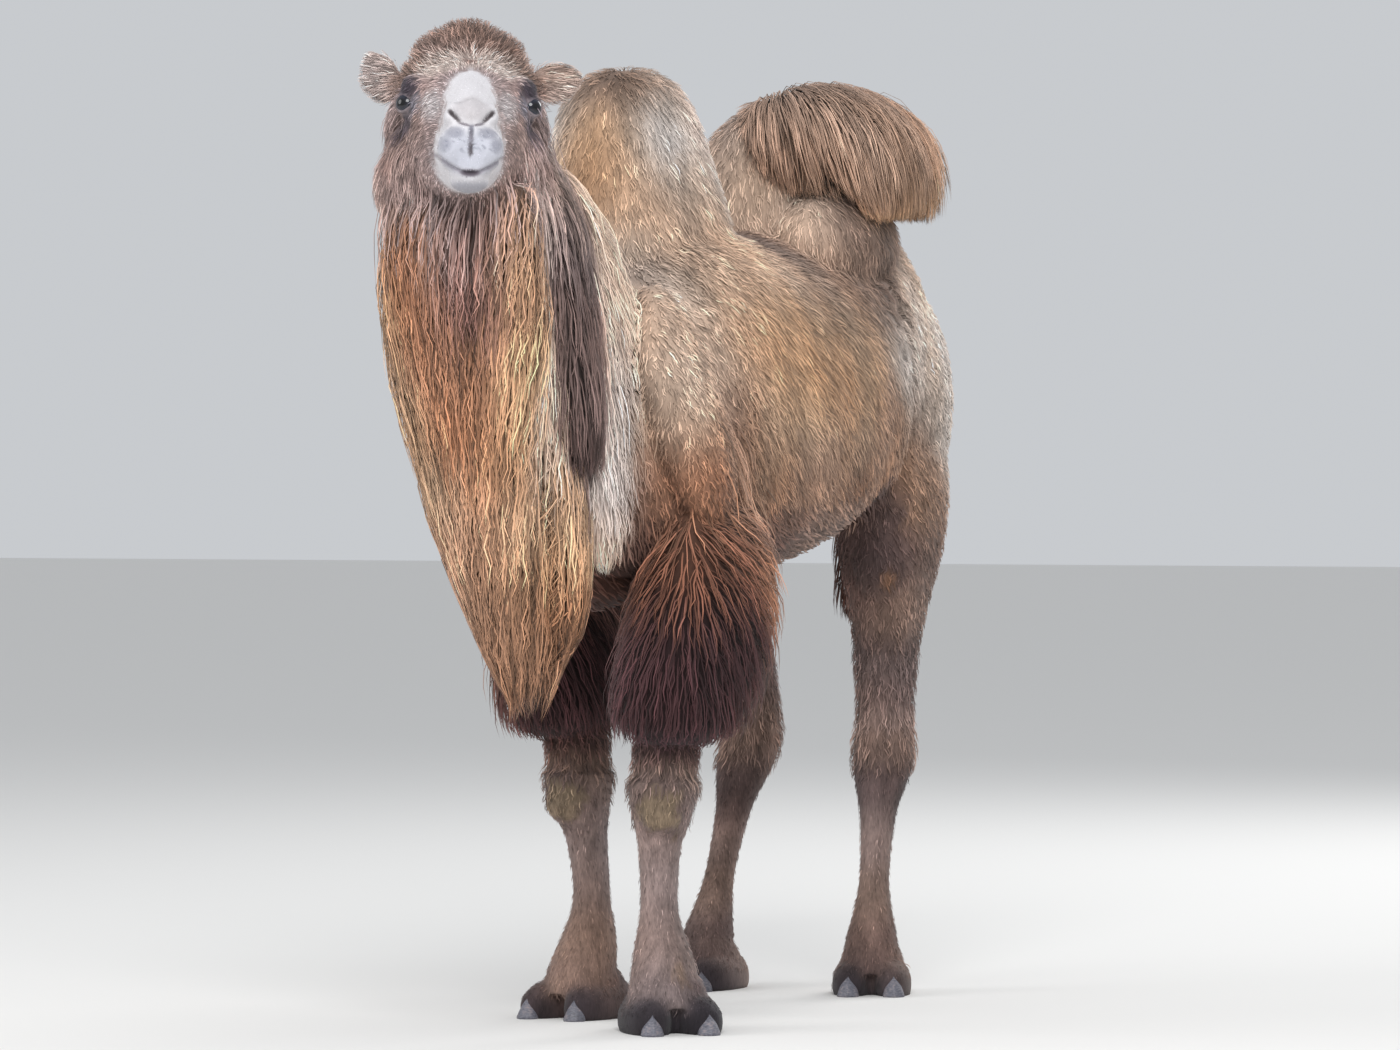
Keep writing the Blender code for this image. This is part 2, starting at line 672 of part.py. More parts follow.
# ---------------------------------------------------------------- fusing
body_forms = [
    trunk_form, shoulder_left, shoulder_right, breast_pad, haunch_left, haunch_right,
    front_hump_form, rear_hump_form, hump_heel, neck_form, beard_form, beard_side_left,
    neck_wool_left, neck_wool_right, nape_form, nape_ridge, tail_form, *head_forms,
]
for leg in LEGS:
    body_forms += limb_forms[leg]
    body_forms += toe_forms[leg]
body = fused("body", body_forms, BODY_VOXEL, 5, BODY_TRIANGLES)
head_source = fused("head_source", [*head_forms, neck_form, beard_form, nape_form, nape_ridge],
                    HEAD_VOXEL, 7, HEAD_TRIANGLES)
foot_sources = {
    leg: fused(leg + "_source", [*toe_forms[leg], limb_forms[leg][0]], FOOT_VOXEL, 3,
               FOOT_TRIANGLES)
    for leg in LEGS
}

# Hollows of the face: a seat for each eyeball, the nostril slits and the mouth.
for side, word in ((1, "left"), (-1, "right")):
    socket = head_cutter("socket_" + word, (side * EYE_SPREAD, EYE_FORWARD, 0.0),
                         (SOCKET_RADIUS, SOCKET_RADIUS, SOCKET_RADIUS))
    boolean(head_source, socket, "DIFFERENCE")
    slit = head_cutter("nostril_" + word, (side * 0.031, -0.292, -0.043),
                       (0.021, 0.020, 0.0055), (0, side * 33, side * 14))
    boolean(head_source, slit, "DIFFERENCE")
mouth = head_cutter("mouth", (0.0, -0.250, -0.150), (0.078, 0.064, 0.0035), (-4, 0, 0))
boolean(head_source, mouth, "DIFFERENCE")
philtrum = head_cutter("philtrum", (0.0, -0.322, -0.105), (0.004, 0.014, 0.042))
boolean(head_source, philtrum, "DIFFERENCE")
keep_largest(head_source)

# ---------------------------------------------------------------- parting
sources = [body, head_source]
parts = {}


def head_block(name, low, high, turn=(0, 0, 0), about=None):
    made = block(name, low, high, turn, about)
    made.data.transform(to_head)
    return made


# The head ends behind the jowls; the topknot is a part of its own.
topknot_cut = head_block("topknot_cut", (-0.30, -0.02, 0.118), (0.30, 0.40, 0.40), (-8, 0, 0),
                         (0, 0.1, 0.118))
parts["topknot"] = part_off("topknot", head_source, topknot_cut, sources)
head_cut = head_block("head_cut", (-0.40, -0.60, -0.60), (0.40, 0.155, 0.60), (28, 0, 0),
                      (0, 0.155, -0.05))
throat_cut = head_block("throat_cut", (-0.50, -0.60, -0.90), (0.50, 0.60, -0.215), (-6, 0, 0),
                        (0, 0.0, -0.215))
boolean(head_cut, throat_cut, "DIFFERENCE")
parts["head"] = part_off("head", head_source, head_cut, [body])

for leg in LEGS:
    x, y, _ = FEET[leg]
    foot_cut = block(leg + "_foot_cut", (x - 0.165, y - 0.25, -0.10), (x + 0.165, y + 0.22, 0.155))
    parts[leg + "_foot"] = part_off(leg + "_foot", foot_sources[leg], foot_cut, [body])
    low_top = 0.455 if leg.startswith("fore") else 0.500
    shank_cut = block(leg + "_shank_cut", (x - 0.13, y - 0.25, 0.10), (x + 0.13, y + 0.30, low_top))
    parts[leg + "_shank"] = part_off(leg + "_shank", body, shank_cut, [body])

for leg in LEGS:
    x, y, _ = FEET[leg]
    side = 1 if x > 0 else -1
    fore = leg.startswith("fore")
    inner = side * (0.075 if fore else 0.060)
    outer = side * 0.60
    front = y - (0.235 if fore else 0.300)
    rear = y + (0.325 if fore else 0.500)
    upper_cut = sloped_block(leg + "_upper_cut", (min(inner, outer), front, -0.60),
                             (max(inner, outer), rear, 1.245 if fore else 1.300),
                             0.965 if fore else 1.000)
    part = leg + ("_arm" if leg.startswith("fore") else "_thigh")
    parts[part] = part_off(part, body, upper_cut, [body])

tail_cut = block("tail_cut", (-0.06, 1.475, 0.70), (0.06, 1.80, 1.46), (-8, 0, 0), (0, 1.50, 1.46))
parts["tail"] = part_off("tail", body, tail_cut, [body])
front_cut = block("front_hump_cut", (-0.40, -0.10, 1.775), (0.40, 0.60, 2.40), (1, 0, 0),
                  (0, 0.33, 1.775))
parts["hump_front"] = part_off("hump_front", body, front_cut, [body])
rear_cut = block("rear_hump_cut", (-0.50, 0.603, 1.775), (0.70, 1.45, 2.40), (0, 14, 0),
                 (0, 0.95, 1.79))
parts["hump_rear"] = part_off("hump_rear", body, rear_cut, [body])

beard_cut = block("beard_cut", (-0.40, -0.90, 0.40), (0.40, -0.475, 1.95), (7, 0, 0),
                  (0, -0.475, 1.30))
parts["beard"] = part_off("beard", body, beard_cut, [body])
upper_neck_cut = block("upper_neck_cut", (-0.50, -0.90, 1.50), (0.50, -0.235, 2.30), (-20, 0, 0),
                       (0, -0.235, 1.50))
parts["neck_upper"] = part_off("neck_upper", body, upper_neck_cut, [body])
lower_neck_cut = block("lower_neck_cut", (-0.50, -0.90, 0.40), (0.50, -0.245, 2.00), (8, 0, 0),
                       (0, -0.245, 1.30))
parts["neck_lower"] = part_off("neck_lower", body, lower_neck_cut, [body])
chest_cut = block("chest_cut", (-0.60, -0.60, 0.60), (0.60, 0.235, 2.20))
parts["chest"] = part_off("chest", body, chest_cut, [body])
rump_cut = block("rump_cut", (-0.60, 0.985, 0.60), (0.60, 1.90, 2.20))
parts["rump"] = part_off("rump", body, rump_cut, [body])
parts["barrel"] = part_off("barrel", body, block("barrel_cut", (-0.60, 0.10, 0.60),
                                                 (0.60, 1.20, 2.20)), [])

# ---------------------------------------------------------------- ears, eyes, nails
def ear(word, side, lift, sweep, raise_by, out_by):
    """A short rounded ear: a leaf of flesh with the front hollowed to a cup."""
    bm = bmesh.new()
    bmesh.ops.create_uvsphere(bm, u_segments=12, v_segments=8, radius=1.0)
    for vert in bm.verts:
        along = vert.co.z
        taper = 1.0 - 0.30 * max(0.0, along) ** 2
        vert.co.x *= taper
        vert.co.y = vert.co.y * taper + 0.25 * along * along
    bm.transform(Matrix.Diagonal((EAR_WIDTH / 2, EAR_THICKNESS / 2, EAR_LENGTH / 2, 1.0)))
    leaf = object_of("ear_" + word, bm, camel)
    hollow = ellipsoid("ear_hollow_" + word, (0, -0.021, 0.008), (0.023, 0.020, 0.036), around=10)
    boolean(leaf, hollow, "DIFFERENCE")
    lean = Euler((radians(lift), radians(side * sweep), radians(side * 14))).to_matrix().to_4x4()
    base = Matrix.Translation((side * (0.138 + out_by), 0.150, 0.052 + raise_by))
    leaf.data.transform(to_head @ base @ lean @ Matrix.Translation((0, 0, EAR_LENGTH * 0.42)))
    return leaf


parts["ear_left"] = ear("left", 1, 8, 76, 0.002, 0.0)
parts["ear_right"] = ear("right", -1, 8, 30, -0.026, 0.020)

for side, word in ((1, "left"), (-1, "right")):
    bm = bmesh.new()
    bmesh.ops.create_uvsphere(bm, u_segments=12, v_segments=8, radius=EYE_RADIUS)
    bm.transform(to_head @ Matrix.Translation((side * EYE_SPREAD, EYE_FORWARD, 0.0)))
    parts["eye_" + word] = object_of("eye_" + word, bm, camel)

for word in ("left", "right"):
    seat = joined_copy("ear_seat_" + word, [parts["ear_" + word]])
    grow = seat.modifiers.new("Clearance", "DISPLACE")
    grow.strength = 0.0008
    grow.mid_level = 0.0
    apply_modifiers(seat)
    for name in ("head", "topknot", "neck_upper"):
        boolean(parts[name], seat, "DIFFERENCE")
        keep_largest(parts[name])


def nail(leg, side):
    """The blunt nail at the tip of one toe, drawn in to a ridge at the top and set into the toe."""
    x, y, turn = FEET[leg]
    kind = leg.split("_")[0]
    half = FOOT_HALF_WIDTH[kind]
    long_half = FOOT_HALF_LENGTH[kind]
    spin = (Matrix.Translation((x, y, 0)) @ Matrix.Rotation(radians(turn), 4, "Z")
            @ Matrix.Rotation(radians(side * TOE_SPLAY), 4, "Z"))
    word = "outer" if (side > 0) == (x > 0) else "inner"
    made = ellipsoid(leg + "_nail_" + word, (0, 0, 0),
                     (NAIL_WIDTH / 2, NAIL_LENGTH / 2, NAIL_HEIGHT), around=8)
    for vert in made.data.vertices:
        rise = max(0.0, vert.co.z / NAIL_HEIGHT)
        vert.co.x *= 1 - 0.50 * rise
        vert.co.y += 0.018 * rise
    made.data.transform(Matrix.Translation((side * half * 0.50, -long_half * 0.95, 0.004)))
    cutters.objects.unlink(made)
    camel.objects.link(made)
    made.data.transform(spin)
    return made


floor_cut = block("floor_cut", (-1.0, -1.0, -0.5), (1.0, 2.0, 0.0))
for leg in LEGS:
    boolean(parts[leg + "_foot"], floor_cut, "DIFFERENCE")
    keep_largest(parts[leg + "_foot"])
    for side in (-1, 1):
        piece = nail(leg, side)
        boolean(piece, floor_cut, "DIFFERENCE")
        parts[piece.name] = piece
        seat = joined_copy(piece.name + "_seat", [piece])
        grow = seat.modifiers.new("Clearance", "DISPLACE")
        grow.strength = 0.0012
        grow.mid_level = 0.0
        apply_modifiers(seat)
        boolean(parts[leg + "_foot"], seat, "DIFFERENCE")
    keep_largest(parts[leg + "_foot"])

# ---------------------------------------------------------------- finish
for obj in list(cutters.objects):
    bpy.data.objects.remove(obj, do_unlink=True)

move = Matrix.Translation((MIDDLE_X, MIDDLE_Y, 0.0))
materials = {}


def colour_key(name):
    for key in ("topknot", "eye", "ear", "beard", "tail", "hump", "chest", "barrel", "rump",
                "neck", "nail"):
        if key in name and not (key == "ear" and "rear" in name):
            return key
    if name.endswith("_foot"):
        return "foot"
    if name.endswith("_shank"):
        return "shank"
    if name.endswith("_arm"):
        return "muff"
    if name.endswith("_thigh"):
        return "thigh"
    return "head"


for name, piece in parts.items():
    key = colour_key(name)
    if key not in materials:
        materials[key] = material(key, BODY_COLOURS[key], 0.12 if key == "eye" else 0.9)
    piece.data.transform(move)
    piece.data.materials.clear()
    piece.data.materials.append(materials[key])
    piece.data.shade_smooth()
    piece.data.set_sharp_from_angle(angle=radians(50))
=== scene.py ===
from math import acos, atan2, cos, pi, radians, sin

import bmesh
import bpy
import numpy as np
from mathutils import Euler, Matrix, Vector
from mathutils.bvhtree import BVHTree
from mathutils.kdtree import KDTree


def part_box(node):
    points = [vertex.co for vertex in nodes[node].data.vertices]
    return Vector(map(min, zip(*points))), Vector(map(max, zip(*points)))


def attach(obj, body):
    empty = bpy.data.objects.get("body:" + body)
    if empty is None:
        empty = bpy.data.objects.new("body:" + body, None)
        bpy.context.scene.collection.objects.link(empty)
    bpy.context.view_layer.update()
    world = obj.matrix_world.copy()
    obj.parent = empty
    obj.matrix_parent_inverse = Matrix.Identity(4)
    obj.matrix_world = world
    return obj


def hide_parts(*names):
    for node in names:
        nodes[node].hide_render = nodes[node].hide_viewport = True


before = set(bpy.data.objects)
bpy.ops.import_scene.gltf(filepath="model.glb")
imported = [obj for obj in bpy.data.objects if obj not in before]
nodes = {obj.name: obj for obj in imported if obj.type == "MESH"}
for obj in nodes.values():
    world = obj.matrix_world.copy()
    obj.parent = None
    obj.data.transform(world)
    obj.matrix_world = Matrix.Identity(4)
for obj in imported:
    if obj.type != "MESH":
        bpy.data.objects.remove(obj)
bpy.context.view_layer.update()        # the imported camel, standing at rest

dice = np.random.default_rng(11)
print("frame loaded:", len(nodes), "nodes")

# The camel is drawn from a point beside its left forefoot. The head has a frame of its own, with zero
# midway between the eyes, +Y to the back of the skull, +X to the camel's left and +Z up.
head = {"middle": (-0.010, -0.616, 1.968), "yaw": 26.4, "pitch": 1.0, "roll": 1.6, "eyeSpread": 0.128,
        "eyeForward": -0.004, "eyeRadius": 0.0235}
toHead = (Matrix.Translation(head["middle"]) @ Matrix.Rotation(radians(head["yaw"]), 4, "Z")
          @ Matrix.Rotation(radians(-head["pitch"]), 4, "X") @ Matrix.Rotation(radians(head["roll"]), 4, "Y"))
eyeLow, eyeHigh = (Vector(corner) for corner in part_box("eye_left"))
drawnEye = toHead @ Vector((head["eyeSpread"], head["eyeForward"], 0))
eyePlace = (eyeLow + eyeHigh) / 2
shift = Vector((round(eyePlace.x - drawnEye.x, 3), round(eyePlace.y - drawnEye.y, 3), 0))
toRow = Matrix.Translation(shift)

# Sections of the body. Trunk and skull: y, middle x, half width, bottom z, top z.
# Columns: z, x, y, half width, half depth. Bent paths: x, y, z, half width, half depth.
# Limb columns are measured from the middle of their own foot.
trunkRings = (
    (-0.335, 0, 0.085, 1.13, 1.36), (-0.3, 0, 0.15, 1.05, 1.44), (-0.22, 0, 0.225, 0.98, 1.53),
    (-0.08, 0, 0.292, 0.95, 1.65), (0.1, 0, 0.33, 0.93, 1.76), (0.32, 0, 0.352, 0.94, 1.78),
    (0.56, 0, 0.372, 0.955, 1.75), (0.8, 0, 0.372, 0.985, 1.78), (1, 0, 0.354, 1.03, 1.83),
    (1.18, 0, 0.332, 1.08, 1.85), (1.32, 0, 0.292, 1.12, 1.8), (1.43, 0, 0.222, 1.17, 1.685),
    (1.5, 0, 0.12, 1.24, 1.52),
)
frontHumpRings = (
    (0, 0.235, 1.62, 0.33, 0.225), (0, 0.24, 1.72, 0.31, 0.2), (-0.01, 0.235, 1.82, 0.285, 0.182),
    (-0.016, 0.228, 1.92, 0.252, 0.164), (-0.018, 0.225, 2, 0.217, 0.143), (-0.018, 0.225, 2.05, 0.172, 0.116),
    (-0.018, 0.225, 2.082, 0.1, 0.072),
)
rearHumpRings = (
    (0, 0.93, 1.62, 0.3, 0.22), (0.008, 0.925, 1.76, 0.285, 0.198), (0.045, 0.925, 1.885, 0.265, 0.178),
    (0.118, 0.935, 1.95, 0.26, 0.152), (0.2, 0.958, 1.97, 0.256, 0.132), (0.274, 0.976, 1.944, 0.24, 0.11),
    (0.308, 0.985, 1.885, 0.215, 0.09), (0.315, 0.995, 1.832, 0.195, 0.074), (0.313, 1, 1.8, 0.165, 0.054),
)
neckRings = (
    (0, 0, 1.34, 0.235, 0.29), (0, -0.16, 1.31, 0.215, 0.24), (-0.005, -0.29, 1.335, 0.19, 0.205),
    (-0.015, -0.375, 1.42, 0.178, 0.18), (-0.028, -0.415, 1.53, 0.174, 0.165),
    (-0.035, -0.435, 1.65, 0.174, 0.152), (-0.038, -0.45, 1.76, 0.17, 0.145),
    (-0.042, -0.47, 1.86, 0.15, 0.135), (-0.05, -0.49, 1.94, 0.11, 0.11),
)
beardRings = (
    (1.8, -0.042, -0.585, 0.18, 0.072), (1.7, -0.05, -0.58, 0.19, 0.098), (1.55, -0.05, -0.545, 0.188, 0.118),
    (1.4, -0.06, -0.5, 0.176, 0.124), (1.25, -0.06, -0.455, 0.15, 0.122), (1.1, -0.046, -0.425, 0.132, 0.112),
    (0.95, -0.016, -0.41, 0.108, 0.092), (0.85, 0.006, -0.412, 0.086, 0.07), (0.77, 0.02, -0.42, 0.056, 0.048),
    (0.715, 0.034, -0.426, 0.034, 0.03), (0.69, 0.036, -0.43, 0.016, 0.014),
)
napeRings = (
    (1.9, 0.03, -0.44, 0.05, 0.06), (1.8, 0.078, -0.43, 0.053, 0.085),
    (1.65, 0.116, -0.415, 0.045, 0.095), (1.48, 0.139, -0.4, 0.038, 0.092),
    (1.33, 0.149, -0.39, 0.034, 0.078), (1.24, 0.15, -0.384, 0.022, 0.046),
    (1.2, 0.15, -0.381, 0.01, 0.02),
)
foreLimbRings = (
    (1.3, 0.05, 0.02, 0.09, 0.14), (1.15, 0.045, 0.015, 0.085, 0.125),
    (1, 0.03, 0.005, 0.078, 0.11), (0.85, 0.016, -0.005, 0.072, 0.092),
    (0.7, 0.004, -0.012, 0.068, 0.08), (0.6, 0, -0.015, 0.08, 0.085),
    (0.54, -0.004, -0.018, 0.08, 0.085), (0.49, -0.006, -0.02, 0.073, 0.08),
    (0.44, -0.012, -0.014, 0.061, 0.064), (0.4, -0.018, -0.008, 0.05, 0.054),
    (0.32, -0.024, 0.002, 0.044, 0.05), (0.25, -0.025, 0.006, 0.045, 0.053),
    (0.19, -0.02, 0.006, 0.06, 0.066), (0.14, -0.012, 0, 0.072, 0.078),
    (0.09, -0.006, -0.008, 0.08, 0.088), (0.055, -0.002, -0.01, 0.084, 0.092),
)
hindLimbRings = (
    (1.28, 0, 0.1, 0.125, 0.205), (1.15, 0.01, 0.095, 0.128, 0.19),
    (1.02, 0.015, 0.08, 0.118, 0.16), (0.9, 0.014, 0.066, 0.095, 0.122),
    (0.78, 0.006, 0.074, 0.076, 0.094), (0.68, 0, 0.082, 0.067, 0.084),
    (0.6, 0, 0.08, 0.07, 0.082), (0.54, 0, 0.074, 0.074, 0.08), (0.48, 0, 0.056, 0.062, 0.07),
    (0.42, 0, 0.04, 0.046, 0.057), (0.33, 0, 0.024, 0.038, 0.05), (0.25, 0, 0.012, 0.038, 0.049),
    (0.18, 0, 0.004, 0.05, 0.058), (0.13, 0, -0.002, 0.062, 0.068),
    (0.085, 0, -0.008, 0.068, 0.076), (0.05, 0, -0.01, 0.072, 0.08),
)
muffRings = (
    (1.17, 0.056, 0.04, 0.06, 0.12), (1.11, 0.064, 0.042, 0.11, 0.19), (1.02, 0.066, 0.046, 0.14, 0.228),
    (0.9, 0.058, 0.04, 0.156, 0.24), (0.78, 0.044, 0.015, 0.157, 0.228), (0.7, 0.034, -0.01, 0.148, 0.2),
    (0.65, 0.03, -0.02, 0.128, 0.168), (0.622, 0.028, -0.02, 0.092, 0.112),
)
skullRings = (
    (0.235, 0, 0.05, -0.12, 0.02), (0.2, 0, 0.095, -0.16, 0.07), (0.14, 0, 0.128, -0.195, 0.098),
    (0.08, 0, 0.132, -0.212, 0.108), (0.02, 0, 0.134, -0.206, 0.108),
    (-0.03, 0, 0.122, -0.198, 0.098), (-0.08, 0, 0.097, -0.19, 0.078),
    (-0.13, 0, 0.077, -0.188, 0.056), (-0.18, 0, 0.065, -0.189, 0.034),
    (-0.225, 0, 0.059, -0.192, 0.014), (-0.262, 0, 0.055, -0.19, -0.008),
    (-0.29, 0, 0.046, -0.178, -0.034), (-0.304, 0, 0.03, -0.16, -0.06),
)
beardSideRings = (
    (1.36, 0.085, -0.4, 0.02, 0.03), (1.25, 0.1, -0.385, 0.05, 0.07), (1.08, 0.11, -0.375, 0.05, 0.06),
    (0.95, 0.112, -0.372, 0.046, 0.05), (0.86, 0.098, -0.376, 0.04, 0.04), (0.8, 0.076, -0.384, 0.028, 0.03),
    (0.765, 0.06, -0.392, 0.01, 0.012),
)
neckWoolLeftRings = (
    (1.9, 0.01, -0.38, 0.025, 0.035), (1.78, 0.05, -0.32, 0.082, 0.1), (1.6, 0.098, -0.262, 0.092, 0.14),
    (1.4, 0.128, -0.24, 0.08, 0.138), (1.22, 0.142, -0.248, 0.07, 0.112), (1.1, 0.146, -0.262, 0.05, 0.078),
    (1.02, 0.142, -0.272, 0.022, 0.04), (0.995, 0.14, -0.275, 0.008, 0.015),
)
neckWoolRightRings = (
    (1.9, -0.07, -0.38, 0.025, 0.035), (1.78, -0.085, -0.32, 0.078, 0.1), (1.6, -0.115, -0.262, 0.086, 0.14),
    (1.4, -0.14, -0.24, 0.078, 0.138), (1.22, -0.15, -0.248, 0.066, 0.112), (1.1, -0.15, -0.262, 0.046, 0.078),
    (1.02, -0.148, -0.272, 0.02, 0.04), (0.995, -0.148, -0.275, 0.008, 0.015),
)
napeRidgeRings = (
    (-0.045, -0.37, 1.93, 0.06, 0.055), (-0.04, -0.31, 1.78, 0.078, 0.065),
    (-0.025, -0.23, 1.62, 0.1, 0.075), (0, -0.11, 1.5, 0.14, 0.1), (0, 0.05, 1.54, 0.16, 0.12),
)
tailRings = (
    (0, 1.42, 1.5, 0.045, 0.045), (0, 1.49, 1.47, 0.04, 0.04), (0, 1.525, 1.38, 0.036, 0.036),
    (0.004, 1.53, 1.26, 0.034, 0.034), (0.008, 1.52, 1.14, 0.036, 0.036),
    (0.01, 1.51, 1.03, 0.042, 0.042), (0.01, 1.505, 0.93, 0.036, 0.036),
    (0.01, 1.5, 0.86, 0.012, 0.012),
)
stance = {"foreLeft": (0.176, 0.005, 36.0), "foreRight": (-0.158, 0.285, -10.0),
          "hindLeft": (0.205, 1.125, 20.0), "hindRight": (-0.215, 1.125, -8.0)}
footShape = {"foreWide": 0.112, "foreLong": 0.125, "hindWide": 0.094, "hindLong": 0.108, "toeTop": 0.082,
             "splay": 3.0, "hockLean": 0.150, "hockTuck": 0.030}
# sections of a toe and of the pad behind, from below: height, place and half sizes in shares of the foot's own
toeShape = ((-0.012, 0.478, -0.02, 0.458, 0.93), (0.0, 0.478, -0.02, 0.478, 0.96),
            (0.016, 0.483, -0.02, 0.498, 1.0), (0.038, 0.478, -0.02, 0.493, 0.99),
            (0.056, 0.448, 0.0, 0.448, 0.91), (0.072, 0.408, 0.05, 0.368, 0.78),
            (footShape["toeTop"], 0.358, 0.12, 0.258, 0.56))
padShape = ((-0.010, 0.25, 0.78, 0.72), (0.004, 0.25, 0.80, 0.74), (0.040, 0.22, 0.86, 0.76),
            (0.080, 0.14, 0.78, 0.72), (0.110, 0.06, 0.66, 0.62))


def evened(rings, steps=3):
    # a smooth run of in-between sections through the given ones
    padded = [rings[0], *rings, rings[-1]]
    out = []
    for a, b, c, d in zip(padded, padded[1:], padded[2:], padded[3:]):
        for k in range(steps):
            t = k / steps
            out.append([0.5 * (2 * q + (r - p) * t + (2 * p - 5 * q + 4 * r - s) * t * t
                               + (3 * q - p - 3 * r + s) * t ** 3) for p, q, r, s in zip(a, b, c, d)])
    return out + [list(rings[-1])]


def squared(angle, power):
    c, s = cos(angle), sin(angle)
    return (abs(c) ** (2 / power) * (1 if c >= 0 else -1), abs(s) ** (2 / power) * (1 if s >= 0 else -1))


def less(size, depth, least=0.38):
    # a half size drawn in by the depth of the coat, but never under this share of itself
    return max(size - depth, size * least)


# faces round each section, and how far up it a section of trunk or skull is widest
loftShape = {"sides": 30, "widest": 0.47}


def sphere(segments, rings, radius=1.0):
    # a round ball with its faces in a fixed order, so that each run grows the same hairs
    rough = bmesh.new()
    bmesh.ops.create_uvsphere(rough, u_segments=segments, v_segments=rings, radius=radius)
    rough.verts.index_update()
    faces = []
    for face in rough.faces:
        loop = [vert.index for vert in face.verts]
        first = loop.index(min(loop))
        faces.append(loop[first:] + loop[:first])
    bm = bmesh.new()
    verts = [bm.verts.new(vert.co) for vert in rough.verts]
    rough.free()
    for loop in sorted(faces):
        bm.faces.new([verts[index] for index in loop])
    return bm


def loft(kind, rings, coat=0.02, power=2.2, turn=0.0, across=(1, 0, 0)):
    # a ball whose rows are drawn out to the sections, drawn in by the depth of the coat
    rows = evened(rings)
    count = len(rows)
    bm = sphere(loftShape["sides"], count + 1)
    middles = [Vector(row[:3]) for row in rows]
    for vert in bm.verts:
        k = round(acos(max(-1.0, min(1.0, vert.co.z))) / pi * (count + 1)) - 1
        pole = k < 0 or k >= count
        k = max(0, min(count - 1, k))
        px, py = (0.0, 0.0) if pole else squared(atan2(vert.co.y, vert.co.x), power)
        row = rows[k]
        if kind == "barrel":
            y, x, half, low, top = row
            low, top, half = low + coat, top - coat, less(half, coat)
            middle = low + (top - low) * loftShape["widest"]
            vert.co = (x + half * px, y, middle + ((top - middle) if py > 0 else (middle - low)) * py)
        elif kind == "column":
            z, x, y, half, deep = row
            px, py = less(half, coat) * px, less(deep, coat) * py
            face = radians(turn)
            vert.co = (x + px * cos(face) - py * sin(face), y + px * sin(face) + py * cos(face), z)
        else:
            along = (middles[min(k + 1, count - 1)] - middles[max(k - 1, 0)]).normalized()
            side = Vector(across)
            side = (side - along * side.dot(along)).normalized()
            half, deep = less(row[3], coat), less(row[4], coat)
            vert.co = middles[k] + side * half * px + along.cross(side) * deep * py
    bmesh.ops.recalc_face_normals(bm, faces=bm.faces)
    return bm


def ball(place, size, turn=(0, 0, 0), coat=0.0):
    bm = sphere(28, 18)
    spin = Euler([radians(a) for a in turn]).to_matrix().to_4x4()
    bm.transform(Matrix.Translation(place) @ spin @ Matrix.Diagonal((*[less(s, coat) for s in size], 1.0)))
    return bm


forms = {}          # the closed shapes of each stretch of the body, by the coat that it wears


def form(region, bm, placed=None):
    if placed is not None:
        bm.transform(placed)
    forms.setdefault(region, []).append(bm)


form("flank", loft("barrel", trunkRings, 0.012, 2.25))
form("shoulder", ball((0.228, -0.035, 1.35), (0.092, 0.21, 0.28), (6, -14, 8), 0.012))
form("shoulder", ball((-0.228, 0.03, 1.35), (0.092, 0.21, 0.28), (6, 14, -8), 0.012))
form("belly", ball((0, -0.03, 0.965), (0.115, 0.15, 0.06), coat=0.006))
form("thigh", ball((0.205, 1.225, 1.36), (0.135, 0.255, 0.30), (-8, 0, 0), 0.010))
form("thigh", ball((-0.205, 1.235, 1.36), (0.135, 0.255, 0.30), (-8, 0, 0), 0.010))
form("hump", loft("path", frontHumpRings, 0.020, across=(0, 1, 0)))
form("fringe", loft("path", rearHumpRings, 0.034, 2.4, across=(0, 1, 0)))
form("hump", ball((0.185, 0.930, 1.725), (0.138, 0.245, 0.140), coat=0.010))
form("neckWool", loft("path", neckRings, 0.020, 2.1))
form("neckWool", loft("column", neckWoolLeftRings[:-1], 0.018))
form("neckWool", loft("column", neckWoolRightRings[:-1], 0.018))
form("beard", loft("column", beardRings[:-2], 0.030, 2.15))
form("beard", loft("column", beardSideRings[:-2], 0.024))
form("nape", loft("column", napeRings[:-1], 0.016, turn=12))
form("nape", loft("path", napeRidgeRings, 0.016))
form("tail", loft("path", tailRings, 0.016))


def limbRings(rings, leg, low=0.0, high=9.0):
    # leg sections over their foot; the right hock stands further back and in than its foot
    x, y, _ = stance[leg]
    side = 1 if x > 0 else -1
    lean = footShape["hockLean"] if leg == "hindRight" else 0.0
    tuck = footShape["hockTuck"] if leg == "hindRight" else 0.0
    out = []
    for z, dx, dy, half, deep in rings:
        bent = max(0.0, 1 - abs(z - 0.62) / 0.55)
        if low <= z <= high:
            out.append((z, x + side * (dx - tuck * bent), y + dy + lean * bent, half, deep))
    return out


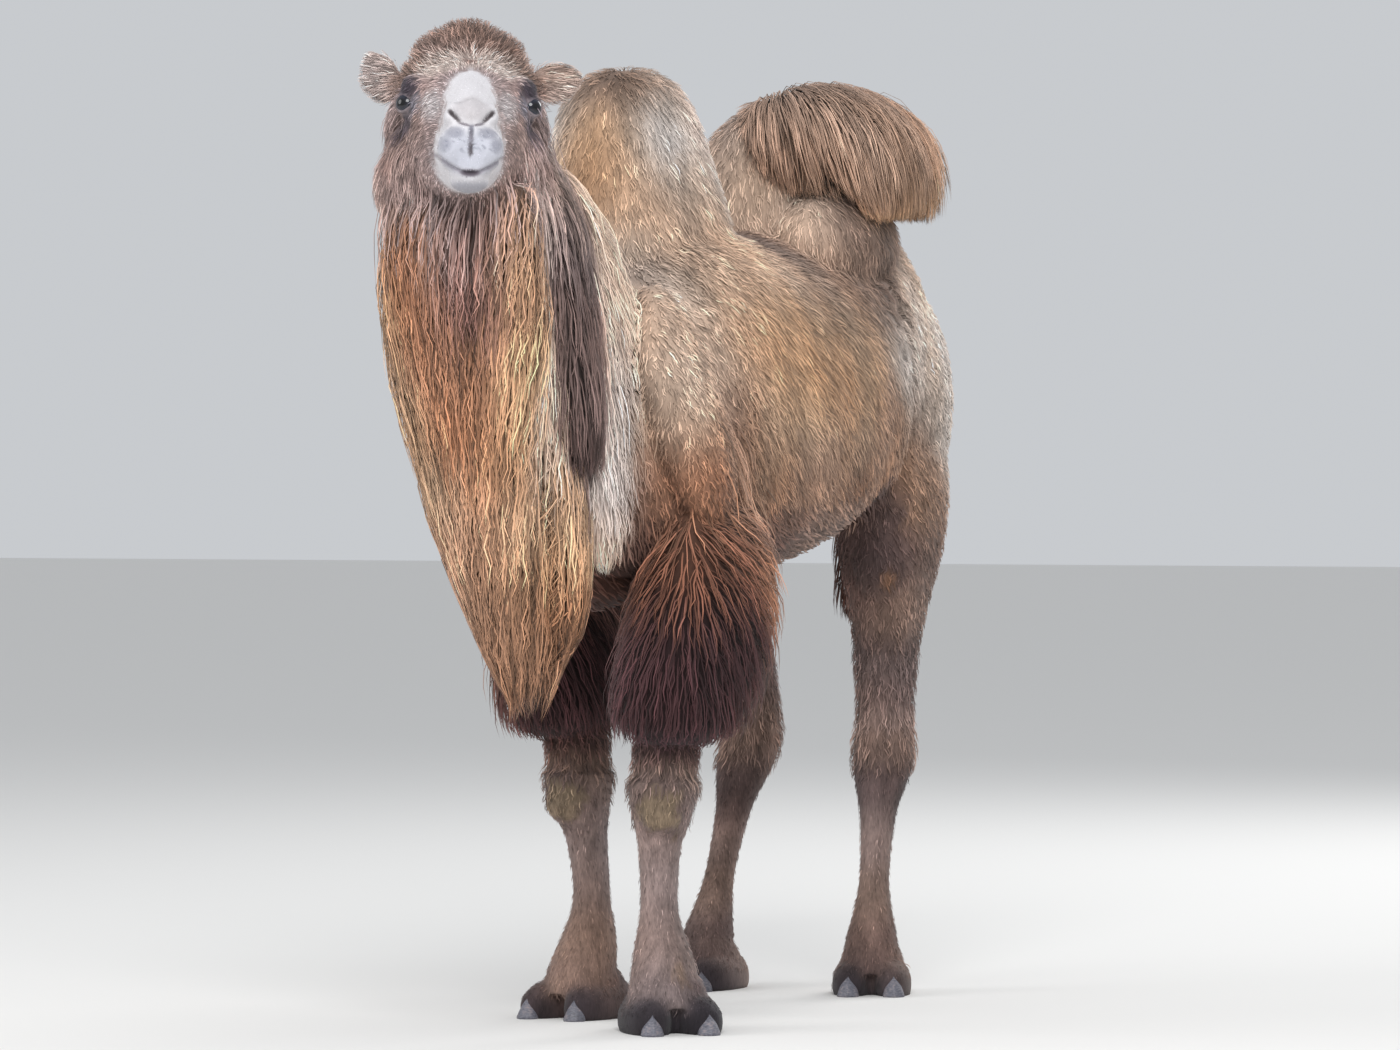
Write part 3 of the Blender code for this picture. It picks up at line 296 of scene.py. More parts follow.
for leg, (footX, footY, footTurn) in stance.items():
    side = 1 if footX > 0 else -1
    if leg.startswith("fore"):
        form("muff", loft("column", limbRings(foreLimbRings, leg, low=0.59), 0.012))
        form("leg", loft("column", limbRings(foreLimbRings, leg, high=0.55), 0.005))
        form("knee", loft("column", limbRings(foreLimbRings, leg, low=0.48, high=0.71), 0.016))
        form("muff", loft("column", limbRings(muffRings, leg), 0.034))
        form("leg", ball((footX + side * 0.008, footY - 0.062, 0.487), (0.052, 0.036, 0.062),
                         (0, 0, footTurn * 0.6), 0.003))
    else:
        back = leg == "hindRight"
        form("thigh", loft("column", limbRings(hindLimbRings, leg, low=0.66), 0.010, 2.1))
        form("leg", loft("column", limbRings(hindLimbRings, leg, high=0.61), 0.005, 2.1))
        form("knee", loft("column", limbRings(hindLimbRings, leg, low=0.52, high=0.80), 0.008, 2.1))
        form("leg", ball((footX + (0.030 if back else 0), footY + (0.273 if back else 0.135), 0.575),
                         (0.036, 0.042, 0.075), (-14, 0, 0), 0.004))
        form("thigh", ball((footX + side * 0.03, footY + 0.010, 1.0), (0.090, 0.110, 0.130), coat=0.014))
    wide = footShape[leg[:4] + "Wide"]
    long = footShape[leg[:4] + "Long"]
    underfoot = Matrix.Translation((footX, footY, 0)) @ Matrix.Rotation(radians(footTurn), 4, "Z")
    for toe in (-1, 1):
        toeRings = [(z, toe * wide * cx, long * cy, wide * hx, long * hy) for z, cx, cy, hx, hy in toeShape]
        form("foot", loft("column", toeRings, 0.0015, 2.15),
             underfoot @ Matrix.Rotation(radians(toe * footShape["splay"]), 4, "Z"))
    padRings = [(z, 0, long * cy, wide * hx, long * hy) for z, cy, hx, hy in padShape]
    form("foot", loft("column", padRings, 0.002, 2.1), underfoot)

form("face", loft("barrel", skullRings, 0.005, 2.25), toHead)
faceBalls = {       # place, half sizes, turn; mirrored where the place is off the middle
    "cheek": ((0.095, 0.085, -0.110), (0.075, 0.105, 0.105), (0, 0, 0)),
    "jowl": ((0.122, 0.125, -0.160), (0.072, 0.075, 0.098), (0, 0, 0)),
    "temple": ((0.114, 0.105, -0.045), (0.062, 0.060, 0.090), (0, 0, 0)),
    "brow": ((0.106, 0.008, 0.038), (0.038, 0.055, 0.030), (0, 20, -18)),
    "orbit": ((0.113, 0.006, 0.0), (0.036, 0.052, 0.042), (0, 0, -20)),
    "lip": ((0.033, -0.262, -0.110), (0.039, 0.052, 0.050), (0, 8, 0)),
    "nostrilWing": ((0.030, -0.247, -0.040), (0.031, 0.050, 0.032), (0, 18, 0)),
    "noseBridge": ((0, -0.135, 0.020), (0.040, 0.140, 0.034), (17, 0, 0)),
    "noseTip": ((0, -0.262, -0.040), (0.038, 0.040, 0.042), (0, 0, 0)),
    "chin": ((0, -0.240, -0.168), (0.046, 0.052, 0.032), (0, 0, 0)),
    "throat": ((0, 0.110, -0.200), (0.110, 0.110, 0.080), (0, 0, 0)),
}
for name, (place, size, turn) in faceBalls.items():
    for side in ((1, -1) if place[0] else (1,)):
        hairy = name in ("cheek", "jowl", "throat")
        bm = ball((side * place[0], *place[1:]), size, (turn[0], side * turn[1], side * turn[2]),
                  0.009 if hairy else 0.005)
        form("jowl" if hairy else "face", bm, toHead)
form("crown", ball((0, 0.120, 0.075), (0.140, 0.120, 0.062), coat=0.006), toHead)
form("crown", ball((0, 0.115, 0.108), (0.122, 0.105, 0.070), coat=0.006), toHead)
form("crown", ball((0, 0.112, 0.123), (0.084, 0.088, 0.065), coat=0.005), toHead)
form("crown", ball((0, 0.045, 0.098), (0.085, 0.060, 0.034), (18, 0, 0), 0.008), toHead)
for side in (1, -1):
    form("crown", ball((side * 0.112, 0.150, 0.045), (0.045, 0.045, 0.045), coat=0.006), toHead)

# the skin: all the forms fused, then fined down where little shows
skinShape = {"voxel": 0.0050, "relax": 5, "triangles": 112000, "faceMiddle": (0, -0.10, -0.05),
             "faceReach": (0.17, 0.27), "keepFace": 2e-5}


def settled(obj):
    graph = bpy.context.evaluated_depsgraph_get()
    mesh = bpy.data.meshes.new_from_object(obj.evaluated_get(graph))
    old = obj.data
    obj.modifiers.clear()
    obj.data = mesh
    bpy.data.meshes.remove(old)


def valuesOf(mesh, what="co"):
    # the places of a mesh's points, or their normals
    flat = np.empty(len(mesh.vertices) * 3, np.float32)
    mesh.vertices.foreach_get(what, flat)
    return flat.reshape(-1, 3).astype(np.float64)


def fadeBetween(values, start, end):
    t = np.clip((values - start) / (end - start), 0, 1)
    return t * t * (3 - 2 * t)


def together(shapes, whole):
    for shape in shapes:
        piece = bpy.data.meshes.new("form")
        shape.to_mesh(piece)
        whole.from_mesh(piece)
        bpy.data.meshes.remove(piece)
    return whole


def meshOf(bm, name):
    mesh = bpy.data.meshes.new(name)
    bm.to_mesh(mesh)
    bm.free()
    return mesh


def linked(name, mesh):
    made = bpy.data.objects.new(name, mesh)
    bpy.context.scene.collection.objects.link(made)
    return made


joined = together([bm for region in forms for bm in forms[region]], bmesh.new())
skin = linked("skin", bpy.data.meshes.new("skin"))
joined.to_mesh(skin.data)
joined.free()
fuse = skin.modifiers.new("Fuse", "REMESH")
fuse.mode = "VOXEL"
fuse.voxel_size = skinShape["voxel"]
relax = skin.modifiers.new("Relax", "SMOOTH")
relax.factor = 0.5
relax.iterations = skinShape["relax"]
settled(skin)
print("fused", len(skin.data.vertices))
points = valuesOf(skin.data)
fromFace = np.linalg.norm(points - np.array(toHead @ Vector(skinShape["faceMiddle"])), axis=1)
plain = fadeBetween(fromFace, *skinShape["faceReach"])       # 0 on the face, 1 on the rest of the body
thinned = skin.vertex_groups.new(name="plain")
for tenth in range(1, 11):
    members = np.flatnonzero(np.round(plain * 10) == tenth)
    thinned.add(members.tolist(), tenth / 10, "REPLACE")
thin = skin.modifiers.new("Thin", "DECIMATE")
thin.vertex_group = "plain"
thin.vertex_group_factor = skinShape["keepFace"]
thin.ratio = skinShape["triangles"] / (2 * len(skin.data.polygons))
thin.use_collapse_triangulate = True
settled(skin)
skin.vertex_groups.clear()
print("thinned", len(skin.data.vertices), len(skin.data.polygons))

# the face: finer faces round muzzle and eyes, then folds, nostrils, lips and lids
headBack = np.array(toHead.inverted())


def inHead(places):
    return places @ headBack[:3, :3].T + headBack[:3, 3]


def nearFace(p, muzzleReach, eyeReach):
    x = np.abs(p[:, 0])
    muzzle = (p[:, 1] < -0.275 + muzzleReach) & (x < 0.11) & (p[:, 2] < 0.04) & (p[:, 2] > -0.22)
    fromLid = np.stack([x - head["eyeSpread"] - 0.012, p[:, 1] - head["eyeForward"] + 0.014, p[:, 2]], 1)
    return muzzle | (np.linalg.norm(fromLid, axis=1) < eyeReach)


mouthLine = {"middle": -0.159, "rise": 0.033, "halfWidth": 0.064, "depth": 0.0058, "fine": 0.0036}


def mouthHeight(x, y):
    return (mouthLine["middle"] + mouthLine["rise"] * np.clip(np.abs(x) / mouthLine["halfWidth"], 0, 1) ** 1.7
            + 0.12 * np.clip(y + 0.235, 0, 0.2))


for muzzleReach, eyeReach, finest in ((0.150, 0.062, False), (0.100, 0.040, True)):
    bm = bmesh.new()
    bm.from_mesh(skin.data)
    bm.verts.ensure_lookup_table()
    onHead = inHead(valuesOf(skin.data))
    near = nearFace(onHead, muzzleReach, eyeReach)
    if finest:
        mouthBand = np.abs(onHead[:, 2] - mouthHeight(onHead[:, 0], onHead[:, 1])) < 0.010
        nostrilBand = ((onHead[:, 2] > -0.125) & (onHead[:, 2] < -0.018)
                       & (np.abs(onHead[:, 0]) < 0.052) & (onHead[:, 1] < -0.262))
        near &= mouthBand | nostrilBand | (onHead[:, 1] > -0.16)
    edges = [e for e in bm.edges if near[e.verts[0].index] and near[e.verts[1].index]]
    bmesh.ops.subdivide_edges(bm, edges=edges, cuts=1, use_grid_fill=True)
    fresh = list({v for e in edges if e.is_valid for v in e.verts})
    bmesh.ops.triangulate(bm, faces=[f for f in bm.faces if len(f.verts) > 3])
    bmesh.ops.smooth_vert(bm, verts=fresh, factor=0.5, use_axis_x=True, use_axis_y=True, use_axis_z=True)
    bm.to_mesh(skin.data)
    bm.free()
print("face fined", len(skin.data.vertices), len(skin.data.polygons))

# place, half sizes, turn about Y, height in metres; mirrored where the place is off the middle
faceFolds = (
    ((0.0400, -0.283, -0.0345), (0.0150, 0.024, 0.0094), 50, -0.0140),     # nostril
    ((0.031, -0.290, -0.0470), (0.0150, 0.020, 0.0056), 48, -0.0090),     # its slit, down and inwards
    ((0.012, -0.300, -0.0590), (0.0130, 0.020, 0.0040), 12, -0.0025),     # crease under the pad
    ((0.043, -0.262, -0.014), (0.0200, 0.030, 0.0110), 20, 0.0035),       # wing over the nostril
    ((0.000, -0.300, -0.033), (0.0260, 0.030, 0.0200), 0, 0.0035),        # pad of the nose
    ((0.035, -0.283, -0.098), (0.0250, 0.040, 0.0290), 0, 0.0065),        # halves of the upper lip
    ((0.000, -0.305, -0.090), (0.0040, 0.040, 0.0300), 0, -0.0095),       # split of the lip
    ((0.009, -0.305, -0.078), (0.0034, 0.040, 0.0200), 0, 0.0022),
    ((0.000, -0.290, -0.160), (0.0130, 0.040, 0.0075), 0, -0.0060),
    ((0.000, -0.262, -0.178), (0.0340, 0.040, 0.0120), 0, 0.0030),        # chin
    ((0.062, -0.120, -0.028), (0.0200, 0.060, 0.0300), 0, -0.0050),       # hollow beside the nose bone
    ((0.073, -0.150, -0.120), (0.0045, 0.020, 0.0240), -12, -0.0045),
    ((0.100, -0.050, -0.046), (0.0055, 0.030, 0.0260), 14, -0.0035),      # fold down from the inner eye corner
    ((0.104, -0.012, 0.041), (0.0300, 0.030, 0.0110), 12, 0.0040),        # brow
)
# lids: half openings and widths in degrees as seen from the middle of the eyeball, the rest in metres
lids = {"axis": (0.60, -0.80, 0.04), "halfLong": 54.0, "halfHighUp": 44.0, "halfHighDown": 42.0, "almond": 0.10,
        "edge": 2.2, "wrapFrom": 9, "wrapTo": 48, "widest": 100, "farthest": 0.075, "proud": 0.0028,
        "tucked": 0.006, "touch": 0.0006}


def reachesTo(p, place, size, turn):
    # how far each place is from a spot, squared and in the spot's half sizes, then the same for its twin
    for side in ((1, -1) if place[0] else (1,)):
        gap = p - np.array([side * place[0], place[1], place[2]])
        c, s = cos(radians(side * turn)), sin(radians(side * turn))
        across = gap[:, 0] * c + gap[:, 2] * s
        upward = gap[:, 2] * c - gap[:, 0] * s
        yield (across / size[0]) ** 2 + (gap[:, 1] / size[1]) ** 2 + (upward / size[2]) ** 2


def folded(p):
    # how far the face stands in or out of its plain form at each place
    out = np.zeros(len(p))
    for place, size, turn, height in faceFolds:
        for reach in reachesTo(p, place, size, turn):
            out += height * np.exp(-reach)
    mouth = np.exp(-((p[:, 2] - mouthHeight(p[:, 0], p[:, 1])) / mouthLine["fine"]) ** 2)
    front = (1 - fadeBetween(p[:, 1], -0.185, -0.160)) * (1 - fadeBetween(np.abs(p[:, 0]), 0.066, 0.074))
    return out - mouthLine["depth"] * mouth * front


def eyeFrame(side):
    axis = Vector((side * lids["axis"][0], *lids["axis"][1:])).normalized()
    along = Vector((0, 0, 1)).cross(axis).normalized() * side       # towards the back of the head
    return np.array(axis), np.array(along), np.array(axis.cross(along) * side)


def lidded(p):
    # wraps the skin over each eyeball, and opens it between the lids
    p = p.copy()
    for side in (1, -1):
        middle = np.array([side * head["eyeSpread"], head["eyeForward"], 0.0])
        axis, along, upward = eyeFrame(side)
        gap = p - middle
        far = np.linalg.norm(gap, axis=1)
        d = gap / far[:, None]
        away = np.degrees(np.arccos(np.clip(d @ axis, -1, 1)))
        near = (away < lids["widest"]) & (far < lids["farthest"])
        u, w = d @ along, d @ upward
        turn = np.arctan2(w, u)
        high = np.where(w > 0, lids["halfHighUp"], lids["halfHighDown"])
        edge = 1 / np.sqrt((np.cos(turn) / lids["halfLong"]) ** 2 + (np.sin(turn) / high) ** 2)
        edge *= 1 - lids["almond"] * np.sin(turn * 2) ** 2
        rim = head["eyeRadius"] + lids["proud"]
        inner = head["eyeRadius"] - lids["tucked"]
        wrap = 1 - fadeBetween(away - edge, lids["wrapFrom"], lids["wrapTo"])
        reach = np.where(away < edge - lids["edge"], inner, far + (rim - far) * wrap)
        snapped = near & (np.abs(away - edge) < lids["edge"])
        reach = np.where(snapped, head["eyeRadius"] + lids["touch"], reach)
        flat = np.stack([d @ axis, u, w], 1)
        size = np.sqrt(np.clip(1 - np.cos(np.radians(edge)) ** 2, 0, 1)) / np.maximum(np.hypot(u, w), 1e-6)
        onEdge = np.stack([np.cos(np.radians(edge)), u * size, w * size], 1)
        flat = np.where(snapped[:, None], onEdge, flat)
        turned = flat[:, :1] * axis + flat[:, 1:2] * along + flat[:, 2:3] * upward
        p = np.where(near[:, None], middle + turned * reach[:, None], p)
    return p


fold = {"deep": 0.022, "wide": 0.018, "lipShare": 0.4, "lipAway": 0.045, "lipWide": 0.02,
        "line": ((0.300, 0.950, 1.660), (0.326, 0.985, 1.580), (0.346, 1.014, 1.480), (0.351, 1.020, 1.380),
                 (0.325, 1.065, 1.260), (0.290, 1.060, 1.150))}


def mirrored(p):
    # the same places, all brought to the animal's left
    return np.stack([np.abs(p[:, 0]), p[:, 1], p[:, 2]], 1)


def creased(p):
    # the fold of skin between flank and thigh
    near = np.full(len(p), 9.0)
    twin = mirrored(p)
    for start, end in zip(fold["line"][:-1], fold["line"][1:]):
        reach = np.array(end) - start
        part = np.clip((twin - start) @ reach / (reach @ reach), 0, 1)
        near = np.minimum(near, np.linalg.norm(twin - start - part[:, None] * reach, axis=1))
    lip = fold["lipShare"] * np.exp(-((near - fold["lipAway"]) / fold["lipWide"]) ** 2)
    return fold["deep"] * (lip - np.exp(-(near / fold["wide"]) ** 2))


points = valuesOf(skin.data)
headOut = np.array(toHead)
normals = valuesOf(skin.data, "normal")
points += normals * creased(points)[:, None]
facial = inHead(points)
close = (facial[:, 1] < 0.10) & (facial[:, 1] > -0.40) & (facial[:, 2] > -0.26) & (np.abs(facial[:, 0]) < 0.17)
points += normals * (folded(facial) * close)[:, None]
facial = np.where(close[:, None], lidded(inHead(points)), inHead(points))
points = facial @ headOut[:3, :3].T + headOut[:3, 3]
points[:, 2] = np.maximum(points[:, 2], 0.0)
skin.data.vertices.foreach_set("co", points.astype(np.float32).ravel())
skin.data.update()

earShape = {"long": 0.112, "wide": 0.078, "deep": 0.040, "wall": 0.17, "cup": 0.95, "point": 0.34,
            "base": (0.138, 0.150, 0.052), "lean": 14, "sunk": 0.42}


def earOf(side, sweep, raiseBy, outBy):
    # a leaf of skin, curled forward into a cup
    bm = sphere(36, 24)
    for vert in bm.verts:
        x, y, z = vert.co
        taper = 1 - earShape["point"] * max(0.0, z) ** 2
        cup = earShape["cup"] * (1 - 1.25 * x * x) * (1 - 0.55 * z * z) - 0.25
        vert.co = (x * taper, y * earShape["wall"] + cup * 0.8, z)
    bm.transform(Matrix.Diagonal((earShape["wide"] / 2, earShape["deep"] / 2, earShape["long"] / 2, 1.0)))
    lean = Euler((radians(side), radians(side * sweep), radians(side * earShape["lean"]))).to_matrix().to_4x4()
    out, back, up = earShape["base"]
    base = Matrix.Translation((side * (out + outBy), back, up + raiseBy))
    bm.transform(toHead @ base @ lean @ Matrix.Translation((0, 0, earShape["long"] * earShape["sunk"])))
    return bm


forms["ear"] = [earOf(1, 76, 0.002, 0.0), earOf(-1, 30, -0.026, 0.020)]
bm = bmesh.new()
bm.from_mesh(skin.data)
together(forms["ear"], bm)
bmesh.ops.triangulate(bm, faces=[f for f in bm.faces if len(f.verts) > 3])
bm.to_mesh(skin.data)
bm.free()
print("skin shaped", len(skin.data.vertices))

# where each coat grows: every place on the skin belongs to the nearest forms
points = valuesOf(skin.data)
normals = valuesOf(skin.data, "normal")
regions = list(forms)
at = {region: column for column, region in enumerate(regions)}
border = {"search": 0.12, "soft": 0.010}        # how far off a form counts, and how softly coats meet
gaps = np.full((len(points), len(regions)), border["search"])
listed = points.tolist()
for region in regions:
    whole = together(forms[region], bmesh.new())
    tree = BVHTree.FromBMesh(whole)
    whole.free()
    found = [tree.find_nearest(place, border["search"])[3] for place in listed]
    gaps[:, at[region]] = [border["search"] if gap is None else gap for gap in found]
    for bm in forms[region]:
        bm.free()
share = np.exp(-(gaps - gaps.min(axis=1, keepdims=True)) / border["soft"])
x, y, z = points.T


def moveShare(source, target, part):
    moved = share[:, at[source]] * part
    share[:, at[target]] += moved
    share[:, at[source]] -= moved


def fringeBottom(across):
    # height of the lower edge of the rear hump's long fringe, from the ridge out to the animal's left
    return np.interp(across, (0.02, 0.045, 0.07, 0.10, 0.13, 0.168, 0.20, 0.27, 0.30),
                     (2.20, 1.98, 1.91, 1.865, 1.84, 1.815, 1.795, 1.775, 1.768))


under = fadeBetween(-normals[:, 2], 0.25, 0.7) * (1 - fadeBetween(z, 1.10, 1.25))
moveShare("flank", "belly", under)
moveShare("thigh", "belly", under * (z > 1.0) * (np.abs(x) < 0.12))
moveShare("flank", "shoulder", 1 - fadeBetween(y, 0.06, 0.24))
moveShare("flank", "thigh", fadeBetween(y, 0.94, 1.10))
# on the rear hump the long fringe hangs from the ridge over the left side, and short wool covers the rest
moveShare("fringe", "hump", (1 - fadeBetween(z - fringeBottom(x), 0.0, 0.035)) * (x < 0.285))
share /= share.sum(axis=1, keepdims=True)
facial = inHead(points)
edgeEnds = np.empty(len(skin.data.edges) * 2, np.int32)
skin.data.edges.foreach_get("vertices", edgeEnds)
edgeEnds = edgeEnds.reshape(-1, 2)
edgeCount = 1 + np.bincount(edgeEnds.ravel(), minlength=len(points))


def softened(values, rounds):
    # each place takes the mean of itself and its neighbours
    for _ in range(rounds):
        values = np.stack([column + np.bincount(edgeEnds[:, 0], column[edgeEnds[:, 1]], len(column))
                           + np.bincount(edgeEnds[:, 1], column[edgeEnds[:, 0]], len(column))
                           for column in values.T], 1) / edgeCount[:, None]
    return values


def unit(v):
    return v / np.maximum(np.linalg.norm(v, axis=-1, keepdims=True), 1e-9)


normals = unit(softened(normals, 5))
print("coats placed")


def drift(places, size, seed, count=9):
    # a soft random field, about -1 to 1, whose patches are size across
    waves = np.random.default_rng(seed)
    out = np.zeros(len(places))
    for _ in range(count):
        out += np.sin(places @ (waves.normal(0, 2.6 / size, 3)) + waves.uniform(0, 2 * pi))
    return out / np.sqrt(count)


# colours, as they look on the live camel, 0 to 255
swatches = {
    "chalk": (206, 203, 206), "pad": (180, 175, 177), "mist": (180, 182, 193), "blueGrey": (118, 119, 131),
    "fawn": (158, 138, 135), "ashPink": (170, 152, 148), "nearBlack": (52, 45, 47), "dusk": (68, 60, 68),
    "umber": (96, 70, 66), "rust": (162, 114, 87), "honey": (214, 172, 134), "cream": (236, 213, 198),
    "slate": (102, 85, 82), "sand": (218, 188, 165), "dust": (184, 158, 140), "camel": (200, 160, 126),
    "tan": (172, 138, 116), "oat": (222, 205, 192), "bark": (148, 119, 101), "toast": (186, 150, 120),
    "copper": (146, 108, 84), "blush": (184, 158, 152), "shell": (212, 189, 172), "russet": (146, 97, 76),
    "plum": (75, 49, 51), "hazel": (138, 114, 102), "ridge": (140, 118, 106), "clay": (142, 123, 118),
    "peat": (90, 73, 71), "ink": (42, 37, 41), "walnut": (98, 70, 62), "callus": (136, 118, 98),
    "ochre": (160, 124, 84), "crownBrown": (134, 108, 97), "pale": (206, 188, 178), "linen": (192, 171, 162),
}
# swatch and the place where it is purest; sided marks hold on one side only, the rest on both
marks = {
    "flank": (("camel", 0.33, 0.40, 1.45), ("tan", 0.36, 0.45, 1.12), ("sand", 0.20, 0.42, 1.74),
              ("toast", 0.37, 0.70, 1.42), ("ridge", 0.20, 0.82, 1.76), ("ridge", 0.12, 0.58, 1.76),
              ("ridge", 0.29, 0.95, 1.66), ("tan", 0.36, 0.88, 1.33), ("tan", 0.34, 0.90, 1.18),
              ("copper", 0.28, 0.75, 1.12), ("oat", 0.352, 1.00, 1.44)),
    "belly": (("walnut", 0.0, 0.3, 0.95), ("hazel", 0.2, 0.8, 1.0)),
    "shoulder": (("sand", 0.30, -0.15, 1.42), ("sand", 0.28, 0.00, 1.60), ("rust", 0.31, -0.10, 1.12),
                 ("tan", 0.32, 0.05, 1.31), ("walnut", 0.05, -0.25, 1.10), ("dust", 0.10, -0.10, 1.70),
                 ("sand", 0.32, 0.10, 1.50)),
    # on the front hump, the pale and oat marks at its rear edge are its pale hair, partly a painted highlight
    # where light falls on that edge
    "hump": (("dust", 0.0, 0.25, 2.08), ("ridge", 0.0, 0.85, 2.06), ("ridge", -0.10, 0.85, 1.96),
             ("sand", 0.14, 0.20, 1.85), ("oat", 0.12, 0.44, 1.90), ("sand", 0.2, 0.2, 1.70),
             ("camel", -0.05, 0.02, 1.92), ("bark", 0.00, 0.12, 2.08), ("pale", 0.13, 0.34, 2.00),
             ("oat", 0.12, 0.16, 1.96), ("sand", 0.14, 0.70, 1.85), ("dust", 0.0, 0.90, 1.95),
             ("shell", 0.15, 0.76, 1.86), ("ridge", 0.27, 0.86, 1.80), ("ridge", 0.24, 1.05, 1.82)),
    "fringe": (("bark", 0.14, 0.93, 2.04), ("tan", 0.26, 0.75, 1.93), ("toast", 0.34, 0.97, 1.80),
               ("bark", 0.10, 0.70, 1.95), ("tan", 0.32, 1.00, 1.97), ("bark", -0.2, 0.93, 1.75),
               ("toast", 0.36, 1.05, 1.88)),
    "thigh": (("oat", 0.33, 1.20, 1.50), ("oat", 0.33, 1.30, 1.35), ("tan", 0.30, 1.12, 1.17),
              ("sand", 0.20, 1.30, 1.65), ("peat", 0.25, 1.05, 1.02), ("hazel", 0.28, 1.16, 0.90),
              ("walnut", 0.10, 1.10, 1.0), ("peat", 0.22, 1.19, 0.74)),
    "neckWool": (("cream", 0.18, -0.40, 1.60), ("cream", 0.20, -0.36, 1.35), ("cream", 0.24, -0.30, 1.10),
                 ("sand", 0.17, -0.25, 1.75), ("cream", 0.20, -0.37, 1.20), ("hazel", -0.05, -0.33, 1.15),
                 ("cream", -0.18, -0.40, 1.60), ("tan", -0.24, -0.30, 1.10)),
    "beard": (("blush", 0.00, -0.66, 1.76), ("umber", 0.02, -0.665, 1.72), ("umber", 0.01, -0.665, 1.64),
              ("rust", 0.00, -0.66, 1.50), ("rust", -0.14, -0.63, 1.70), ("honey", -0.22, -0.57, 1.66),
              ("toast", 0.11, -0.63, 1.70), ("honey", 0.13, -0.58, 1.52), ("honey", 0.10, -0.56, 1.36),
              ("rust", -0.10, -0.65, 1.56), ("toast", -0.21, -0.56, 1.45), ("rust", -0.05, -0.63, 1.38),
              ("copper", 0.06, -0.60, 1.35), ("toast", -0.17, -0.54, 1.30), ("rust", 0.03, -0.60, 1.22),
              ("toast", 0.10, -0.52, 1.20), ("copper", -0.06, -0.57, 1.10), ("tan", -0.13, -0.50, 1.08),
              ("copper", 0.02, -0.52, 0.95), ("toast", 0.14, -0.43, 1.12), ("copper", 0.15, -0.42, 0.98),
              ("copper", 0.00, -0.47, 0.82), ("hazel", 0.03, -0.44, 0.74)),
    # the slate and peat down the left of the nape: dark mane hair, partly painted shade of the strip that lies
    # in shadow
    "nape": (("slate", 0.13, -0.45, 1.80), ("slate", 0.16, -0.42, 1.50), ("peat", 0.17, -0.40, 1.30),
             ("walnut", -0.04, -0.30, 1.80), ("walnut", 0.0, -0.10, 1.60)),
    "muff": (("russet", 0.32, -0.16, 1.08), ("rust", 0.37, 0.10, 1.00), ("plum", 0.35, 0.00, 0.86),
             ("plum", 0.28, -0.16, 0.78), ("plum", 0.20, -0.15, 0.68), ("plum", 0.12, 0.10, 0.80),
             ("copper", 0.38, 0.20, 0.92)),
    "knee": (("bark", 0.18, 0.00, 0.58), ("clay", 0.18, 0.00, 0.49), ("hazel", 0.18, 0.22, 0.58),
             ("clay", 0.22, 1.12, 0.78), ("hazel", 0.16, 1.20, 0.74), ("clay", 0.22, 1.14, 0.62),
             ("hazel", 0.20, 1.16, 0.53)),
    "leg": (("clay", 0.20, 0.00, 0.45), ("hazel", 0.20, 0.00, 0.58), ("clay", 0.18, 0.0, 0.30),
            ("hazel", 0.20, 1.20, 0.62), ("peat", 0.20, 1.18, 0.47), ("clay", 0.20, 1.12, 0.36),
            ("hazel", 0.20, 1.12, 0.22), ("peat", 0.20, 1.15, 0.12), ("clay", 0.16, 0.28, 0.34),
            ("hazel", 0.16, 0.28, 0.14)),
    "foot": (("peat", 0.20, 0.00, 0.115), ("ink", 0.20, -0.08, 0.03), ("ink", 0.16, 0.15, 0.03),
             ("peat", 0.16, 0.24, 0.115), ("peat", 0.16, 0.26, 0.06), ("hazel", 0.20, 1.12, 0.10),
             ("ink", 0.20, 1.02, 0.03), ("ink", 0.26, -0.02, 0.02), ("ink", 0.11, -0.02, 0.02)),
    "tail": (("hazel", 0.0, 1.5, 1.4), ("walnut", 0.0, 1.5, 0.95)),
    "face": (("fawn", 0.09, -0.55, 1.98), ("fawn", 0.0, -0.72, 1.90)),
    "jowl": (("blush", 0.10, -0.50, 1.90), ("blush", 0.08, -0.60, 1.80), ("hazel", 0.0, -0.62, 1.76),
             ("copper", 0.17, -0.42, 1.80)),
    "crown": (("crownBrown", 0.0, -0.50, 2.09),),
    "ear": (("linen", 0.2, -0.45, 2.05),),
}
# on the head: swatch, place, half sizes, turn about Y, strength; mirrored where the place is off the middle
faceMarks = (
    ("pale", (0.045, 0.00, 0.078), (0.072, 0.09, 0.036), 0, 0.85),
    ("pale", (0, -0.05, 0.085), (0.060, 0.06, 0.030), 0, 0.4),
    ("crownBrown", (0, 0.12, 0.175), (0.15, 0.16, 0.062), 0, 0.85),
    ("hazel", (0.120, 0.090, 0.085), (0.040, 0.08, 0.045), 0, 0.6),
    ("walnut", (0, -0.050, 0.090), (0.016, 0.03, 0.010), 0, 0.6),
    ("chalk", (0.072, -0.060, -0.010), (0.024, 0.100, 0.040), 0, 0.6),
    ("dusk", (0.132, 0.015, 0.037), (0.038, 0.090, 0.027), 0, 1.0),
    ("blueGrey", (0.110, -0.030, 0.005), (0.012, 0.030, 0.026), 12, 0.6),
    ("dusk", (0.128, 0.000, -0.038), (0.016, 0.060, 0.018), 8, 0.8),
    ("blueGrey", (0.130, -0.025, -0.004), (0.030, 0.040, 0.026), 0, 0.5),
    ("walnut", (0.172, 0.030, -0.085), (0.026, 0.080, 0.045), 0, 0.45),
    ("blush", (0.120, 0.020, -0.160), (0.060, 0.120, 0.035), 0, 0.7),
    ("blush", (0, -0.19, -0.215), (0.050, 0.06, 0.024), 0, 0.7),
)
